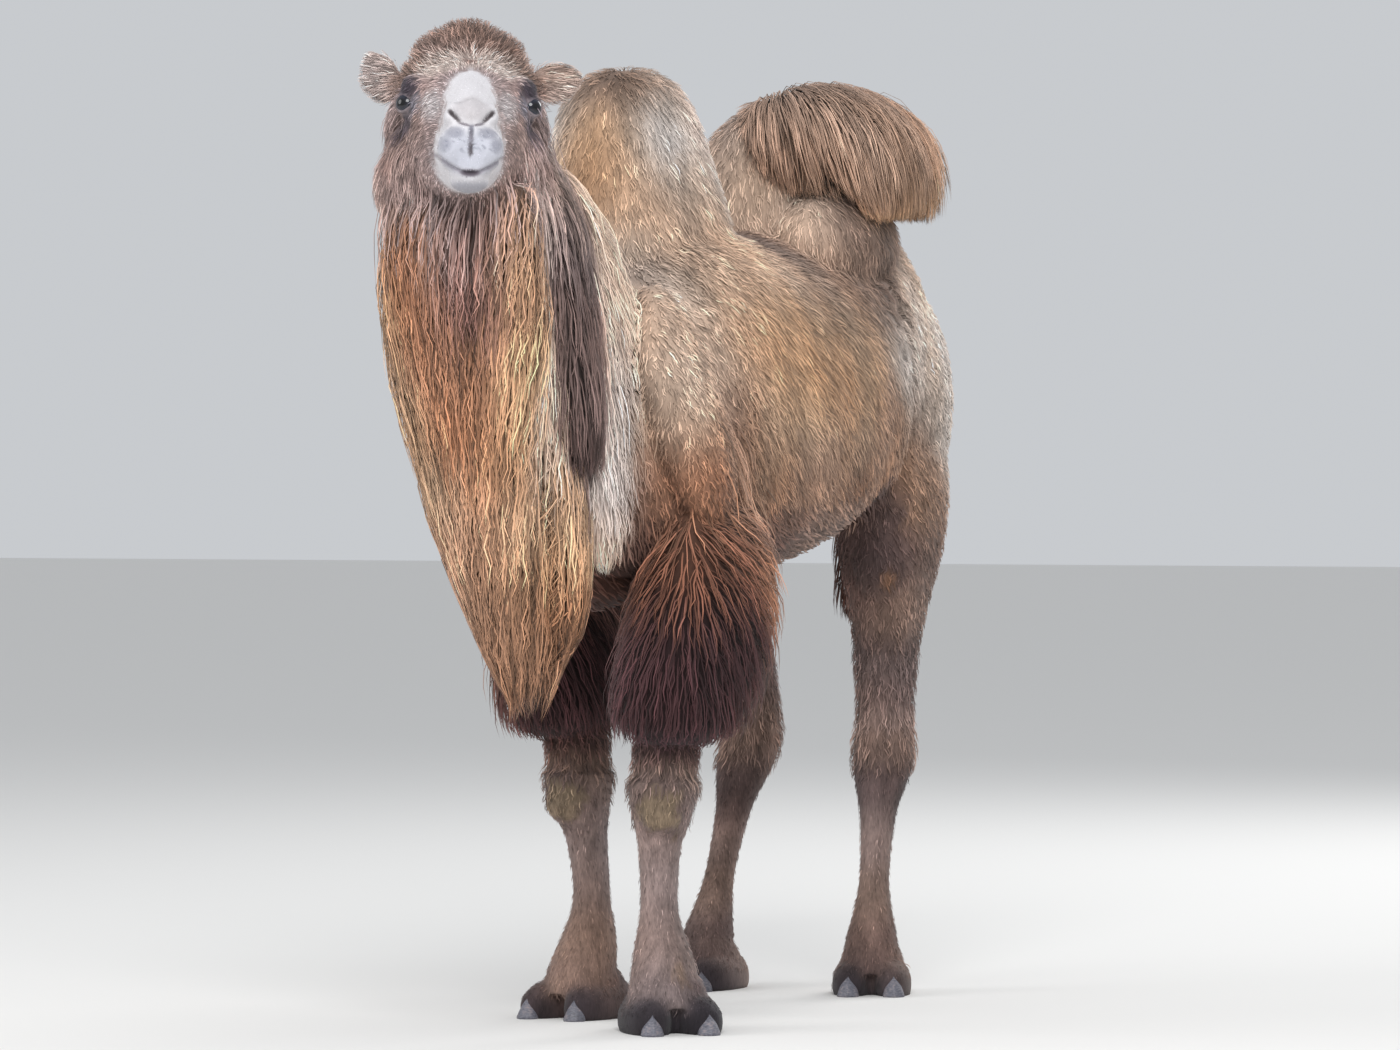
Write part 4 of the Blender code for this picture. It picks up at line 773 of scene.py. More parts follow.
muzzleMarks = (
    ("pad", (0, -0.285, -0.022), (0.040, 0.060, 0.036), 0, 0.75),
    ("mist", (0, -0.290, -0.115), (0.080, 0.060, 0.050), 0, 0.8),
    ("blueGrey", (0.033, -0.290, -0.077), (0.022, 0.040, 0.014), 0, 0.55),
    ("blueGrey", (0.050, -0.285, -0.100), (0.016, 0.040, 0.018), 0, 0.50),
    # the chin's blue-grey: partly its own colour, partly painted shade on its underside
    ("blueGrey", (0, -0.260, -0.186), (0.048, 0.040, 0.020), 0, 0.5),
    # painted shade: the nostril openings and their slits, darkened for the shade inside the holes
    ("nearBlack", (0.0420, -0.292, -0.0340), (0.0115, 0.040, 0.0062), 50, 0.85),
    ("nearBlack", (0.0330, -0.292, -0.0445), (0.0150, 0.040, 0.0044), 44, 0.75),
    # painted shade in the crease under the nose pad
    ("dusk", (0.014, -0.300, -0.0590), (0.0140, 0.040, 0.0030), 14, 0.55),
    # painted shade down the split of the upper lip
    ("blueGrey", (0, -0.305, -0.070), (0.006, 0.030, 0.012), 0, 0.65),
    ("dusk", (0, -0.305, -0.092), (0.0042, 0.030, 0.030), 0, 0.48),
    ("nearBlack", (0, -0.300, -0.110), (0.0055, 0.030, 0.015), 0, 0.65),
    # painted shadow at the middle of the mouth, under the upper lips
    ("dusk", (0, -0.290, -0.157), (0.0210, 0.040, 0.0078), 0, 0.75),
)
# callus on the knees, and other darker or paler patches: swatch, place, reach, strength
patches = (
    ("slate", (0.190, -0.080, 0.490), 0.080, 0.8), ("callus", (0.190, -0.082, 0.482), 0.054, 0.95),
    ("slate", (-0.165, 0.200, 0.490), 0.080, 0.8), ("callus", (-0.165, 0.198, 0.482), 0.054, 0.95),
    ("copper", (0.285, 1.045, 0.960), 0.030, 0.8), ("ochre", (0.235, -0.050, 0.140), 0.030, 0.25),
    ("walnut", (0.318, 0.944, 1.630), 0.022, 0.5), ("peat", (0.270, 1.020, 1.13), 0.085, 0.75),
)
# heights from chin to the top of the white, and the half width of the white at each
muzzleOutline = ((-0.205, -0.195, -0.18, -0.16, -0.137, -0.103, -0.08, -0.052, -0.012, 0.005, 0.028, 0.05,
                  0.062, 0.068),
                 (0.0, 0.020, 0.042, 0.058, 0.068, 0.072, 0.069, 0.060, 0.052, 0.052, 0.046, 0.034,
                  0.018, 0.0))
sidedRegions = ("beard", "neckWool", "nape", "fringe")
# how the colours waver from place to place: strength, size of the patches, and seed
waver = {"broad": (0.07, 0.16, 1), "close": (0.05, 0.05, 2), "warm": (0.022, 0.22, 3), "patch": (0.22, 0.03, 6),
         "streak": (0.10, 0.014, 8), "whiteEdge": (0.0030, 0.018, 5), "whiteBack": (0.010, 0.035, 7)}
# the white of nose and lips: where it fades out, the painted shade along the mouth line, and its speckles
# between two heights
muzzleFinish = {"fade": (-0.010, 0.006), "fadeBack": (-0.100, -0.055), "lipWide": 0.0055, "mouthLineShade": 0.42,
                "speckle": 0.45, "speckleSize": 0.007, "speckleFrom": (0.062, 0.075),
                "speckleTo": (0.105, 0.125)}


def swatch(name):
    return np.array(swatches[name]) / 255


def blended(colour, other, part):
    return colour * (1 - part) + other * part


def spotted(colour, p, spots):
    for name, place, size, turn, strength in spots:
        for reach in reachesTo(p, place, size, turn):
            part = (strength * (1 - fadeBetween(np.sqrt(reach), 0.55, 1.25)))[:, None]
            colour = blended(colour, swatch(name), part)
    return colour


def wavering(places, name):
    strength, size, seed = waver[name]
    return strength * drift(places, size, seed)


def muzzleShare(p):
    # 1 on the white of nose and lips
    inside = np.interp(p[:, 2], *muzzleOutline) - np.abs(p[:, 0]) + wavering(p, "whiteEdge")
    behind = fadeBetween(p[:, 1] + wavering(p, "whiteBack"), *muzzleFinish["fadeBack"])
    return fadeBetween(inside, *muzzleFinish["fade"]) * (1 - behind)


def markings(places, parts):
    # the colour of the coat at each place
    colour = np.zeros((len(places), 3))
    for region, spots in marks.items():
        part = parts[:, at[region]]
        some = part > 0.004
        p = places[some]
        if not len(p):
            continue
        compared = p if region in sidedRegions else mirrored(p)
        total = np.zeros(len(p))
        mixed = np.zeros((len(p), 3))
        for name, *place in spots:
            pull = 1 / (((compared - place) ** 2).sum(axis=1) + 0.0030) ** 2
            total += pull
            mixed += pull[:, None] * swatch(name)
        colour[some] += part[some, None] * mixed / total[:, None]
    colour *= (1 + wavering(places, "broad") + wavering(places, "close"))[:, None]
    warm = wavering(places, "warm")
    colour *= np.stack([1 + warm, np.ones(len(places)), 1 - warm], 1)
    p = inHead(places)
    onHead = np.clip(sum(parts[:, at[region]] for region in ("face", "crown", "jowl")), 0, 1)[:, None]
    streaks = wavering(p * np.array([1.0, 0.8, 0.25]), "streak")
    marked = spotted(colour, p, faceMarks) * (1 + streaks * fadeBetween(p[:, 1], -0.09, 0.02))[:, None]
    muzzle = spotted(np.tile(swatch("chalk"), (len(p), 1)), p, muzzleMarks)
    low = -p[:, 2]
    speckle = fadeBetween(drift(p, muzzleFinish["speckleSize"], 9, 14), 0.55, 1.1)
    speckle = speckle * fadeBetween(low, *muzzleFinish["speckleFrom"])
    speckle = speckle * (1 - fadeBetween(low, *muzzleFinish["speckleTo"])) * muzzleFinish["speckle"]
    muzzle = blended(muzzle, swatch("blueGrey"), (speckle * (p[:, 1] < -0.25))[:, None])
    # painted shade along the crease of the mouth line
    lip = np.exp(-((p[:, 2] - mouthHeight(p[:, 0], p[:, 1])) / muzzleFinish["lipWide"]) ** 2)
    muzzle = blended(muzzle, swatch("dusk") * 1.1, lip[:, None] * muzzleFinish["mouthLineShade"])
    colour = blended(colour, blended(marked, muzzle, muzzleShare(p)[:, None]), onHead)
    uneven = 1 + wavering(places, "patch")
    for name, place, reach, strength in patches:
        away = np.linalg.norm(places - place, axis=1) / reach * uneven
        colour = blended(colour, swatch(name), (strength * (1 - fadeBetween(away, 0.6, 1.15)))[:, None])
    return np.clip(colour, 0.01, 1)


def toLinear(colour):
    colour = np.clip(colour, 0, 1)
    return np.where(colour <= 0.04045, colour / 12.92, ((colour + 0.055) / 1.055) ** 2.4)


def paintOn(mesh, colour, furred=1.0):
    # the fourth channel tells how streaky a place is: 0 on the bare velvet of nose and lips
    layer = mesh.color_attributes.new("coatColour", "FLOAT_COLOR", "POINT")
    four = np.ones((len(colour), 4), np.float32)
    four[:, :3] = toLinear(colour)
    four[:, 3] = furred
    layer.data.foreach_set("color", four.ravel())


skinColour = markings(points, share)

# the lie of the coat, as a direction along the skin
muffWhorls = {1: (0.299, -0.146, 1.07), -1: (-0.281, 0.134, 1.07)}
lie = {"flank": (0, 0.62, -0.78), "belly": (0, 0.95, -0.10), "shoulder": (0, 0.30, -0.95),
       "hump": (0, 0.12, -1.0), "fringe": (0.45, 0.0, -0.9), "thigh": (0, 0.30, -0.95),
       "neckWool": (0, 0.20, -0.97), "beard": (0, -0.08, -1.0), "nape": (0, 0.14, -1.0),
       "knee": (0, -0.12, -1.0), "leg": (0, 0.0, -1.0), "foot": (0, -0.35, -0.9), "tail": (0, 0.05, -1.0)}
flow = np.zeros((len(points), 3))
for region, direction in lie.items():
    flow += share[:, at[region], None] * np.array(direction)
for side, whorl in muffWhorls.items():
    ray = points - np.array(whorl)
    ray /= np.maximum(np.linalg.norm(ray, axis=1, keepdims=True), 0.02)
    flow += (share[:, at["muff"]] * (x * side > 0))[:, None] * (ray + np.array([0, 0, -0.35]))
hx, hy, hz = facial.T
cheek = fadeBetween(hy, -0.13, 0.0)
brow = fadeBetween(hz, 0.035, 0.075)
facing = np.stack([0.25 * np.sign(hx) * cheek + hx * 9 * brow, 1 - 0.55 * cheek,
                   -0.12 - 1.0 * cheek + 1.35 * brow], 1)
crowning = np.stack([hx * 6, (hy - 0.06) * 5, 0.5 - 0 * hx], 1)
earing = np.stack([np.sign(hx) * 1.0, 0.15 + 0 * hx, (hz - 0.075) * 14], 1)
for region, direction in (("face", facing), ("jowl", facing * [1, 0.6, 1.3]), ("crown", crowning),
                          ("ear", earing)):
    flow += share[:, at[region], None] * (direction @ headOut[:3, :3].T)
flow = softened(flow, 10)
flow = unit(flow - normals * (flow * normals).sum(axis=1, keepdims=True))
flow = unit(softened(flow, 6))

corners = np.empty(len(skin.data.polygons) * 3, np.int32)
skin.data.polygons.foreach_get("vertices", corners)
corners = corners.reshape(-1, 3)
a, b, c = (points[corners[:, k]] for k in range(3))
areas = np.linalg.norm(np.cross(b - a, c - a), axis=1) / 2
faceShare = share[corners].mean(axis=1)
nearSkin = KDTree(len(points))
for index, place in enumerate(points.tolist()):
    nearSkin.insert(place, index)
nearSkin.balance()
print("markings and lie of the coat worked out")

# the coat: locks of hair, each a thin closed blade that follows the skin
# gap: room for each lock. long, wide: its size. proud: how far its tip stands off the skin. rows: its parts.
# curl: width and number of its waves. gather: how closely it joins its neighbours, over knot metres. hang: pull
# of its own weight. ruffle: how untidy its direction is. ragged: how uneven the lower edge is. patchy, uneven:
# how much the shade varies from knot to knot and lock to lock. dim: painted shade at the root, for the shade
# deep
# in the coat. tip: how pale the tip is. soft: how far a lock is shaded like the skin under it. A coat has what
# the usual one has and grows on the region of its own name, unless it says otherwise.
usualCoat = {"side": 0, "rows": 3, "gather": 0.5, "hang": 0.1, "patchy": 0.14, "ruffle": 0.16,
             "uneven": 0.13, "ragged": 0.0, "soft": 0.6, "dim": 0.84, "tip": 1.12}
flankWool = {"region": "flank", "proud": 0.012, "curl": (0.0028, 0.8), "gather": 0.45, "ruffle": 0.3,
             "patchy": 0.07, "uneven": 0.11, "dim": 0.9, "tip": 1.05, "slot": "flank_wool"}
curledWool = {"proud": 0.01, "curl": (0.0036, 0.9), "gather": 0.6, "ruffle": 0.6, "patchy": 0.1,
              "uneven": 0.09, "dim": 0.9, "tip": 1.03, "soft": 0.7, "slot": "pale_wool"}
coats = {
    "flankLeft": {**flankWool, "side": 1, "gap": 0.0107, "long": 0.042, "wide": 0.003, "knot": 0.026},
    "flankRight": {**flankWool, "side": -1, "gap": 0.0128, "long": 0.046, "wide": 0.004, "knot": 0.03},
    "belly": {"gap": 0.023, "long": 0.06, "wide": 0.007, "proud": 0.012, "rows": 2, "curl": (0.003, 0.7),
              "gather": 0.4, "knot": 0.05, "hang": 0.2, "patchy": 0.1, "slot": "flank_wool"},
    "shoulder": {**curledWool, "gap": 0.0104, "long": 0.026, "wide": 0.0042, "knot": 0.016,
                 "patchy": 0.12},
    "hump": {**curledWool, "gap": 0.0114, "long": 0.034, "wide": 0.0036, "proud": 0.013, "gather": 0.4,
             "knot": 0.022, "ruffle": 0.4, "tip": 1.04, "slot": "hump_hair"},
    "fringe": {"gap": 0.0094, "long": 0.15, "wide": 0.0032, "proud": 0.024, "rows": 4,
               "curl": (0.003, 1.0), "knot": 0.024, "hang": 0.5, "ruffle": 0.12, "patchy": 0.11,
               "tip": 1.14, "slot": "hump_hair"},
    "thighLeft": {**curledWool, "region": "thigh", "side": 1, "gap": 0.0115, "long": 0.026,
                  "wide": 0.0044, "knot": 0.015},
    "thighRight": {**curledWool, "region": "thigh", "side": -1, "gap": 0.0146, "long": 0.03,
                   "wide": 0.005, "knot": 0.018},
    "neckWool": {"gap": 0.0112, "long": 0.075, "wide": 0.0034, "proud": 0.016, "rows": 4,
                 "curl": (0.005, 1.3), "knot": 0.024, "hang": 0.3, "ruffle": 0.24, "patchy": 0.08,
                 "uneven": 0.08, "dim": 0.96, "tip": 1.1, "soft": 0.7, "slot": "neck_wool"},
    "beard": {"gap": 0.0102, "long": 0.18, "wide": 0.0038, "proud": 0.028, "rows": 5,
              "curl": (0.009, 2.1), "knot": 0.02, "hang": 0.6, "ruffle": 0.14, "ragged": 0.1,
              "patchy": 0.13, "uneven": 0.2, "slot": "beard_hair"},
    "nape": {"gap": 0.011, "long": 0.17, "wide": 0.0036, "proud": 0.013, "rows": 5, "curl": (0.004, 1.6),
             "gather": 0.6, "knot": 0.022, "hang": 0.5, "ruffle": 0.1, "patchy": 0.16,
             "slot": "neck_wool"},
    "muffs": {"region": "muff", "gap": 0.0149, "long": 0.125, "wide": 0.0044, "proud": 0.034, "rows": 4,
              "curl": (0.006, 1.5), "knot": 0.024, "hang": 0.25, "ruffle": 0.2, "ragged": 0.05,
              "tip": 1.08, "slot": "muff_hair"},
    "knees": {"region": "knee", "gap": 0.0112, "long": 0.04, "wide": 0.0036, "proud": 0.014,
              "curl": (0.005, 1.2), "knot": 0.02, "hang": 0.15, "ruffle": 0.35, "patchy": 0.13,
              "slot": "lower_leg_fur"},
    "legs": {"region": "leg", "gap": 0.0132, "long": 0.02, "wide": 0.003, "proud": 0.004, "rows": 2,
             "curl": (0.001, 0.5), "gather": 0.4, "knot": 0.016, "hang": 0.0, "ruffle": 0.3,
             "patchy": 0.09, "uneven": 0.11, "slot": "lower_leg_fur"},
    "feet": {"region": "foot", "gap": 0.009, "long": 0.011, "wide": 0.0024, "proud": 0.0016, "rows": 2,
             "curl": (0.0006, 0.5), "gather": 0.3, "knot": 0.014, "hang": 0.0, "ruffle": 0.25,
             "patchy": 0.09, "dim": 0.9, "slot": "foot_skin"},
    "tail": {"gap": 0.01, "long": 0.12, "wide": 0.0044, "proud": 0.018, "rows": 4, "curl": (0.004, 1.0),
             "knot": 0.03, "hang": 0.6, "patchy": 0.12, "slot": "tail_hair"},
    "face": {"gap": 0.0055, "long": 0.019, "wide": 0.0018, "proud": 0.005, "rows": 2,
             "curl": (0.001, 0.7), "knot": 0.009, "hang": 0.0, "ruffle": 0.26, "uneven": 0.19,
             "dim": 0.86, "tip": 1.16, "slot": "face_fur"},
    "jowls": {"region": "jowl", "gap": 0.0064, "long": 0.06, "wide": 0.0022, "proud": 0.016,
              "curl": (0.0035, 1.1), "knot": 0.014, "hang": 0.15, "uneven": 0.2, "slot": "face_fur"},
    "crown": {"gap": 0.0062, "long": 0.03, "wide": 0.0017, "proud": 0.018, "curl": (0.004, 1.0),
              "knot": 0.011, "hang": 0.05, "ruffle": 0.8, "uneven": 0.18, "slot": "topknot_hair"},
    "ears": {"region": "ear", "gap": 0.0046, "long": 0.034, "wide": 0.0015, "proud": 0.012,
             "curl": (0.0016, 0.9), "knot": 0.011, "ruffle": 0.32, "patchy": 0.18, "uneven": 0.16,
             "slot": "ear_fur"},
}
# no lock of these hangs below this height
lowest = {"beard": 0.675, "neckWool": 0.985, "muff": 0.610, "tail": 0.850, "fringe": 1.768, "nape": 1.19,
          "knee": 0.490}
# the bare parts: leather toes below a height, and the wet edges of lips and eyes
bareParts = {"toeTop": 0.045, "lips": 0.003, "eyeRim": 0.0035, "behindEyes": 0.03}


def thinnedOut(places, gap):
    # keeps one place in each cell of this size
    cells = np.floor(places / gap + dice.uniform(0, 1, 3)).astype(np.int64)
    return np.unique(cells @ np.array([1, 100003, 10000600009]), return_index=True)[1]


def rootsOf(look):
    # where the locks grow, picked at random from the faces of this coat's part of the skin
    part = faceShare[:, at[look["region"]]] * areas
    middles = (a + b + c) / 3
    if look["side"]:
        part = part * (middles[:, 0] * look["side"] >= 0)
    if look["region"] == "foot":
        part = part * (middles[:, 2] > bareParts["toeTop"])
    if look["region"] == "face":
        p = inHead(middles)
        bare = np.abs(p[:, 2] - mouthHeight(p[:, 0], p[:, 1])) < bareParts["lips"]
        for side in (1, -1):
            fromEye = np.linalg.norm(p - [side * head["eyeSpread"], head["eyeForward"], 0], axis=1)
            bare |= fromEye < head["eyeRadius"] + bareParts["eyeRim"]
        part = part * ~(bare & (p[:, 1] < bareParts["behindEyes"]))
    tries = 3.2        # picks for each lock wanted, before those that stand too close are dropped
    count = int(part.sum() / look["gap"] ** 2 * tries)
    picks = dice.choice(len(part), count, p=part / part.sum())
    u, v = dice.uniform(0, 1, (2, count))
    over = u + v > 1
    u[over], v[over] = 1 - u[over], 1 - v[over]
    weights = np.stack([1 - u - v, u, v], 1)
    places = (weights[:, :, None] * np.stack([a[picks], b[picks], c[picks]], 1)).sum(axis=1)
    keep = thinnedOut(places, look["gap"])
    return places[keep], corners[picks[keep]], weights[keep]


def nearest(tree, places):
    return np.array([tree.find(place)[1] for place in places.tolist()])


# how locks grow, mostly in shares: the spreads of their lengths and heights, how steeply they leave the skin,
# how much of its heading a lock keeps at each step, how much shorter the hair of nose and lips is, how far in
# the roots start, and how little length is left near an edge
growth = {"lengths": (0.72, 1.22), "heights": (0.35, 1.0), "highest": 0.45, "arch": 0.8, "steep": 0.55,
          "keep": 0.45, "stub": 0.72, "sunk": 0.002, "shortest": 0.02, "ends": (0.85, 1.1),
          "fringeShortest": 0.03, "fringeEnds": (0.85, 1.15), "loose": 0.2}


def grown(look, roots, trio, weights):
    # each lock's path from its root, and the way off the skin along it
    count, rows = len(roots), look["rows"]
    out = unit((weights[:, :, None] * normals[trio]).sum(axis=1))
    way = unit((weights[:, :, None] * flow[trio]).sum(axis=1))
    long = look["long"] * dice.uniform(*growth["lengths"], count)
    stub = np.ones(count)
    if look["region"] == "face":      # the shortest hair of all is on nose and lips
        stub = 1 - growth["stub"] * muzzleShare(inHead(roots))
        long *= stub
    if look["region"] == "fringe":
        room = np.maximum(roots[:, 2] - fringeBottom(roots[:, 0]), growth["fringeShortest"])
        long = np.minimum(long, room * dice.uniform(*growth["fringeEnds"], count))
    if look["region"] in lowest:
        end = lowest[look["region"]] + look["ragged"] * dice.uniform(0, 1, count) ** 2
        room = np.maximum(roots[:, 2] - end, growth["shortest"])
        long = np.minimum(long, room * dice.uniform(*growth["ends"], count))
    step = (long / rows)[:, None]
    way = unit(way + look["ruffle"] * dice.normal(size=(count, 3)))
    heading = unit(way + growth["steep"] * out)
    proud = np.minimum(look["proud"] * dice.uniform(*growth["heights"], count) * stub, growth["highest"] * long)
    here = roots - out * growth["sunk"]
    path, off = [here], [out]
    free = look["hang"] > growth["loose"]
    for k in range(rows):
        here = here + heading * step
        closest = nearest(nearSkin, here)
        n = normals[closest]
        height = ((here - points[closest]) * n).sum(axis=1)
        target = proud * ((k + 1) / rows) ** growth["arch"]
        lack = target - height
        lack = np.where(free & (lack < 0), 0, lack)
        here = here + n * lack[:, None]
        pull = unit(flow[closest] * (1 - look["hang"]) + np.array([0, 0, -look["hang"]]))
        heading = unit(heading * growth["keep"] + pull * (1 - growth["keep"]))
        inward = np.minimum((heading * n).sum(axis=1), 0)
        heading = unit(heading - n * np.where(height < target + 0.01, inward, 0)[:, None])
        path.append(here)
        off.append(n)
    return np.stack(path, 1), np.stack(off, 1), long


# how locks join and wave: how far off a knot still draws them, how that grows along a lock, and the spreads of
# the pull, of the waves' start and of their size
knotShape = {"reach": 1.6, "closing": 1.3, "pulls": (0.6, 1.1), "starts": 0.5, "sizes": (0.5, 1.3), "deep": 0.5}


def styled(look, path, off):
    # gathers locks into knots and waves them together
    count, rings, _ = path.shape
    leaders = thinnedOut(path[:, 0], look["knot"])
    tree = KDTree(len(leaders))
    for index, leader in enumerate(leaders):
        tree.insert(path[leader, 0].tolist(), index)
    tree.balance()
    mine = nearest(tree, path[:, 0])
    lead = path[leaders[mine]]
    t = np.linspace(0, 1, rings)
    near = np.linalg.norm(lead[:, 0] - path[:, 0], axis=1) < knotShape["reach"] * look["knot"]
    pull = (look["gather"] * t ** knotShape["closing"])[None, :, None] * near[:, None, None]
    path = path + pull * dice.uniform(*knotShape["pulls"], count)[:, None, None] * (lead - path)
    along = unit(np.gradient(path, axis=1))
    side = unit(np.cross(along, off))
    beat = dice.uniform(0, 2 * pi, len(leaders))[mine] + dice.normal(0, knotShape["starts"], count)
    width, waves = look["curl"]
    swing = 2 * pi * waves * t[None, :] + beat[:, None]
    size = (width * t)[None, :] * dice.uniform(*knotShape["sizes"], count)[:, None]
    deep = np.cos(swing) * size * knotShape["deep"]
    path = path + side * (np.sin(swing) * size)[:, :, None] + off * deep[:, :, None]
    return path, mine, len(leaders)


# a last section below the ones above, and how far out of its sections a lock of the beard may stand
beardHold = {"tip": (0.66, 0.030, -0.430, 0.034, 0.026), "edge": (0.90, 1.06)}


def heldIn(path):
    # the beard's locks draw in together as it narrows to its tip
    nearby, outside = None, 9.0
    for rings in (beardRings[:-1], beardSideRings[:-1]):
        z, middleX, middleY, halfX, halfY = np.array(sorted([*rings, beardHold["tip"]])).T
        inside = [np.interp(path[:, :, 2], z, column) for column in (middleX, middleY, halfX, halfY)]
        reach = np.hypot((path[:, :, 0] - inside[0]) / inside[2], (path[:, :, 1] - inside[1]) / inside[3])
        reach = np.where((path[:, :, 2] > z[-1]) | (path[:, :, 2] < z[0]), outside, reach)
        if nearby is None:
            nearby = [reach, *inside]
        else:
            nearby = [np.where(reach < nearby[0], new, old) for new, old in zip((reach, *inside), nearby)]
    reach, middleX, middleY, _, _ = nearby
    allowed = dice.uniform(*beardHold["edge"], len(path))[:, None]
    drawn = np.where((reach > allowed) & (reach < outside), allowed / reach, 1.0)
    path = path.copy()
    path[:, :, 0] = middleX + (path[:, :, 0] - middleX) * drawn
    path[:, :, 1] = middleY + (path[:, :, 1] - middleY) * drawn
    return path


def spread(values):
    # even ranks, 0 to 1
    ranks = np.empty(len(values))
    ranks[np.argsort(values, kind="stable")] = np.linspace(0, 1, len(values))
    return ranks


# each lock is three-sided: where its corners stand round it, how flat it is, how its width swells and ends, how
# much locks differ in width, how soon they pale towards the tip, and how fine their streaks are
blade = {"turns": (90, 205, 335), "flat": 0.55, "rootWide": 0.62, "swell": 0.75, "point": 0.55,
         "lowest": 0.0015, "widths": (0.7, 1.3), "paling": 0.7, "streaks": 60, "muzzleEven": 0.85}


def bladeFaces(rows):
    # the corners of one lock's faces: sides in quads, a point at the tip and a closed root
    loops = []
    for k in range(rows):
        for s in range(3):
            here, beside = 3 * k + s, 3 * k + (s + 1) % 3
            loops.append([here, here + 3, beside + 3, beside] if k < rows - 1 else [beside, here, 3 * rows])
    loops.append([0, 1, 2])
    return np.concatenate(loops), np.array([len(loop) for loop in loops])


def bladeMesh(name, path, side, up, wide):
    count, rows = wide.shape
    ring = []
    for turn in blade["turns"]:
        outward = side * cos(radians(turn)) + up * sin(radians(turn)) * blade["flat"]
        ring.append(path[:, :rows] + outward * wide[:, :, None])
    verts = np.concatenate([np.stack(ring, 2).reshape(count, rows * 3, 3), path[:, -1:]], 1)
    verts[:, :, 2] = np.maximum(verts[:, :, 2], blade["lowest"])
    per = rows * 3 + 1
    loops, sizes = bladeFaces(rows)
    starts = np.concatenate([[0], np.cumsum(sizes)[:-1]])
    each = np.arange(count)[:, None]
    mesh = bpy.data.meshes.new(name)
    mesh.vertices.add(count * per)
    mesh.vertices.foreach_set("co", (verts + np.array(shift)).astype(np.float32).ravel())
    mesh.loops.add(count * len(loops))
    mesh.loops.foreach_set("vertex_index", (loops[None] + per * each).astype(np.int32).ravel())
    mesh.polygons.add(count * len(sizes))
    mesh.polygons.foreach_set("loop_start", (starts[None] + len(loops) * each).astype(np.int32).ravel())
    mesh.polygons.foreach_set("use_smooth", np.ones(count * len(sizes), bool))
    mesh.update(calc_edges=True)
    return mesh, loops


def shadeLike(mesh, side, up, off, soft):
    # soft shading: a lock faces mostly the way that the skin under it does
    count, rows, _ = side.shape
    own = np.stack([side * cos(radians(turn)) + up * sin(radians(turn)) for turn in blade["turns"]], 2)
    below = np.repeat(off[:, :rows], 3, axis=1)
    facing = np.concatenate([(1 - soft) * own.reshape(count, rows * 3, 3) + soft * below, off[:, -1:]], 1)
    mesh.normals_split_custom_set_from_vertices(unit(facing).reshape(-1, 3).tolist())


def bakePlaces(region, roots, loops, level):
    # the map: one small patch for each lock, where its root lies on the skin rolled out flat
    if region in ("flank", "belly", "shoulder", "thigh"):
        rolled = (np.arctan2(roots[:, 0], roots[:, 2] - 1.37), roots[:, 1])
    else:
        middle = roots.mean(axis=0)
        rolled = (np.arctan2(roots[:, 0] - middle[0], -(roots[:, 1] - middle[1])), roots[:, 2])
    corner = np.stack([spread(rolled[0]), spread(rolled[1])], 1) * 0.99 + 0.005
    patch = 0.003
    across = np.resize([-patch / 2, 0.0, patch / 2], len(level))
    local = np.stack([across, patch * level - patch / 2], 1)
    return corner[:, None] + local[loops][None]


def coatMesh(name, look):
    roots, trio, weights = rootsOf(look)
    path, off, long = grown(look, roots, trio, weights)
    path, mine, knots = styled(look, path, off)
    if look["region"] == "beard":
        path = heldIn(path)
    count, rings, _ = path.shape
    rows = rings - 1
    along = unit(np.gradient(path, axis=1))
    side = unit(np.cross(along, off))
    up = np.cross(side, along)[:, :rows]
    side = side[:, :rows]
    t = np.arange(rows) / rows
    swell = (1 - t) ** blade["point"] * (blade["rootWide"] + blade["swell"] * np.sqrt(t))
    wide = look["wide"] * dice.uniform(*blade["widths"], count)[:, None] * swell[None, :] / 2
    mesh, loops = bladeMesh(name, path, side, up, wide)
    shadeLike(mesh, side, up, off, look["soft"])
    # colour: the skin's markings, with painted shade at the root for the depth of the coat, and paler towards
    # the tip
    base = markings(roots, (weights[:, :, None] * share[trio]).sum(axis=1))
    shade = (1 + look["patchy"] * dice.normal(size=knots))[mine]
    shade = shade * (1 + look["uneven"] * dice.normal(size=count))
    if look["region"] == "face":      # nose and lips are even in colour
        shade = 1 + (shade - 1) * (1 - blade["muzzleEven"] * muzzleShare(inHead(roots)))
    base = base * np.clip(shade, 0.5, 1.5)[:, None]
    level = np.concatenate([np.repeat(t, 3), [1.0]])
    # painted shade at the root of each lock, easing to a paler tip
    rootShadeTipPale = look["dim"] + (look["tip"] - look["dim"]) * level ** blade["paling"]
    paintOn(mesh, np.clip(base[:, None] * rootShadeTipPale[None, :, None], 0.01, 1).reshape(-1, 3))
    # strand: a place across and along each lock, for the fine hairs drawn on it
    down = level * long.mean() * blade["streaks"]
    strand = np.stack([np.resize([0.0, 1.0, 2.0], len(level)), down, 0 * level], 1)
    begin = np.stack([dice.uniform(0, 90, count), dice.uniform(0, 90, count), 0 * long], 1)
    strand = strand[None] + begin[:, None]
    layer = mesh.attributes.new("strand", "FLOAT_VECTOR", "POINT")
    layer.data.foreach_set("vector", strand.astype(np.float32).ravel())
    layer = mesh.uv_layers.new(name="OFBake")
    layer.data.foreach_set("uv", bakePlaces(look["region"], roots, loops, level).astype(np.float32).ravel())
    print(name, count, "locks,", count * (6 * rows - 2), "triangles")
    return linked(name, mesh)


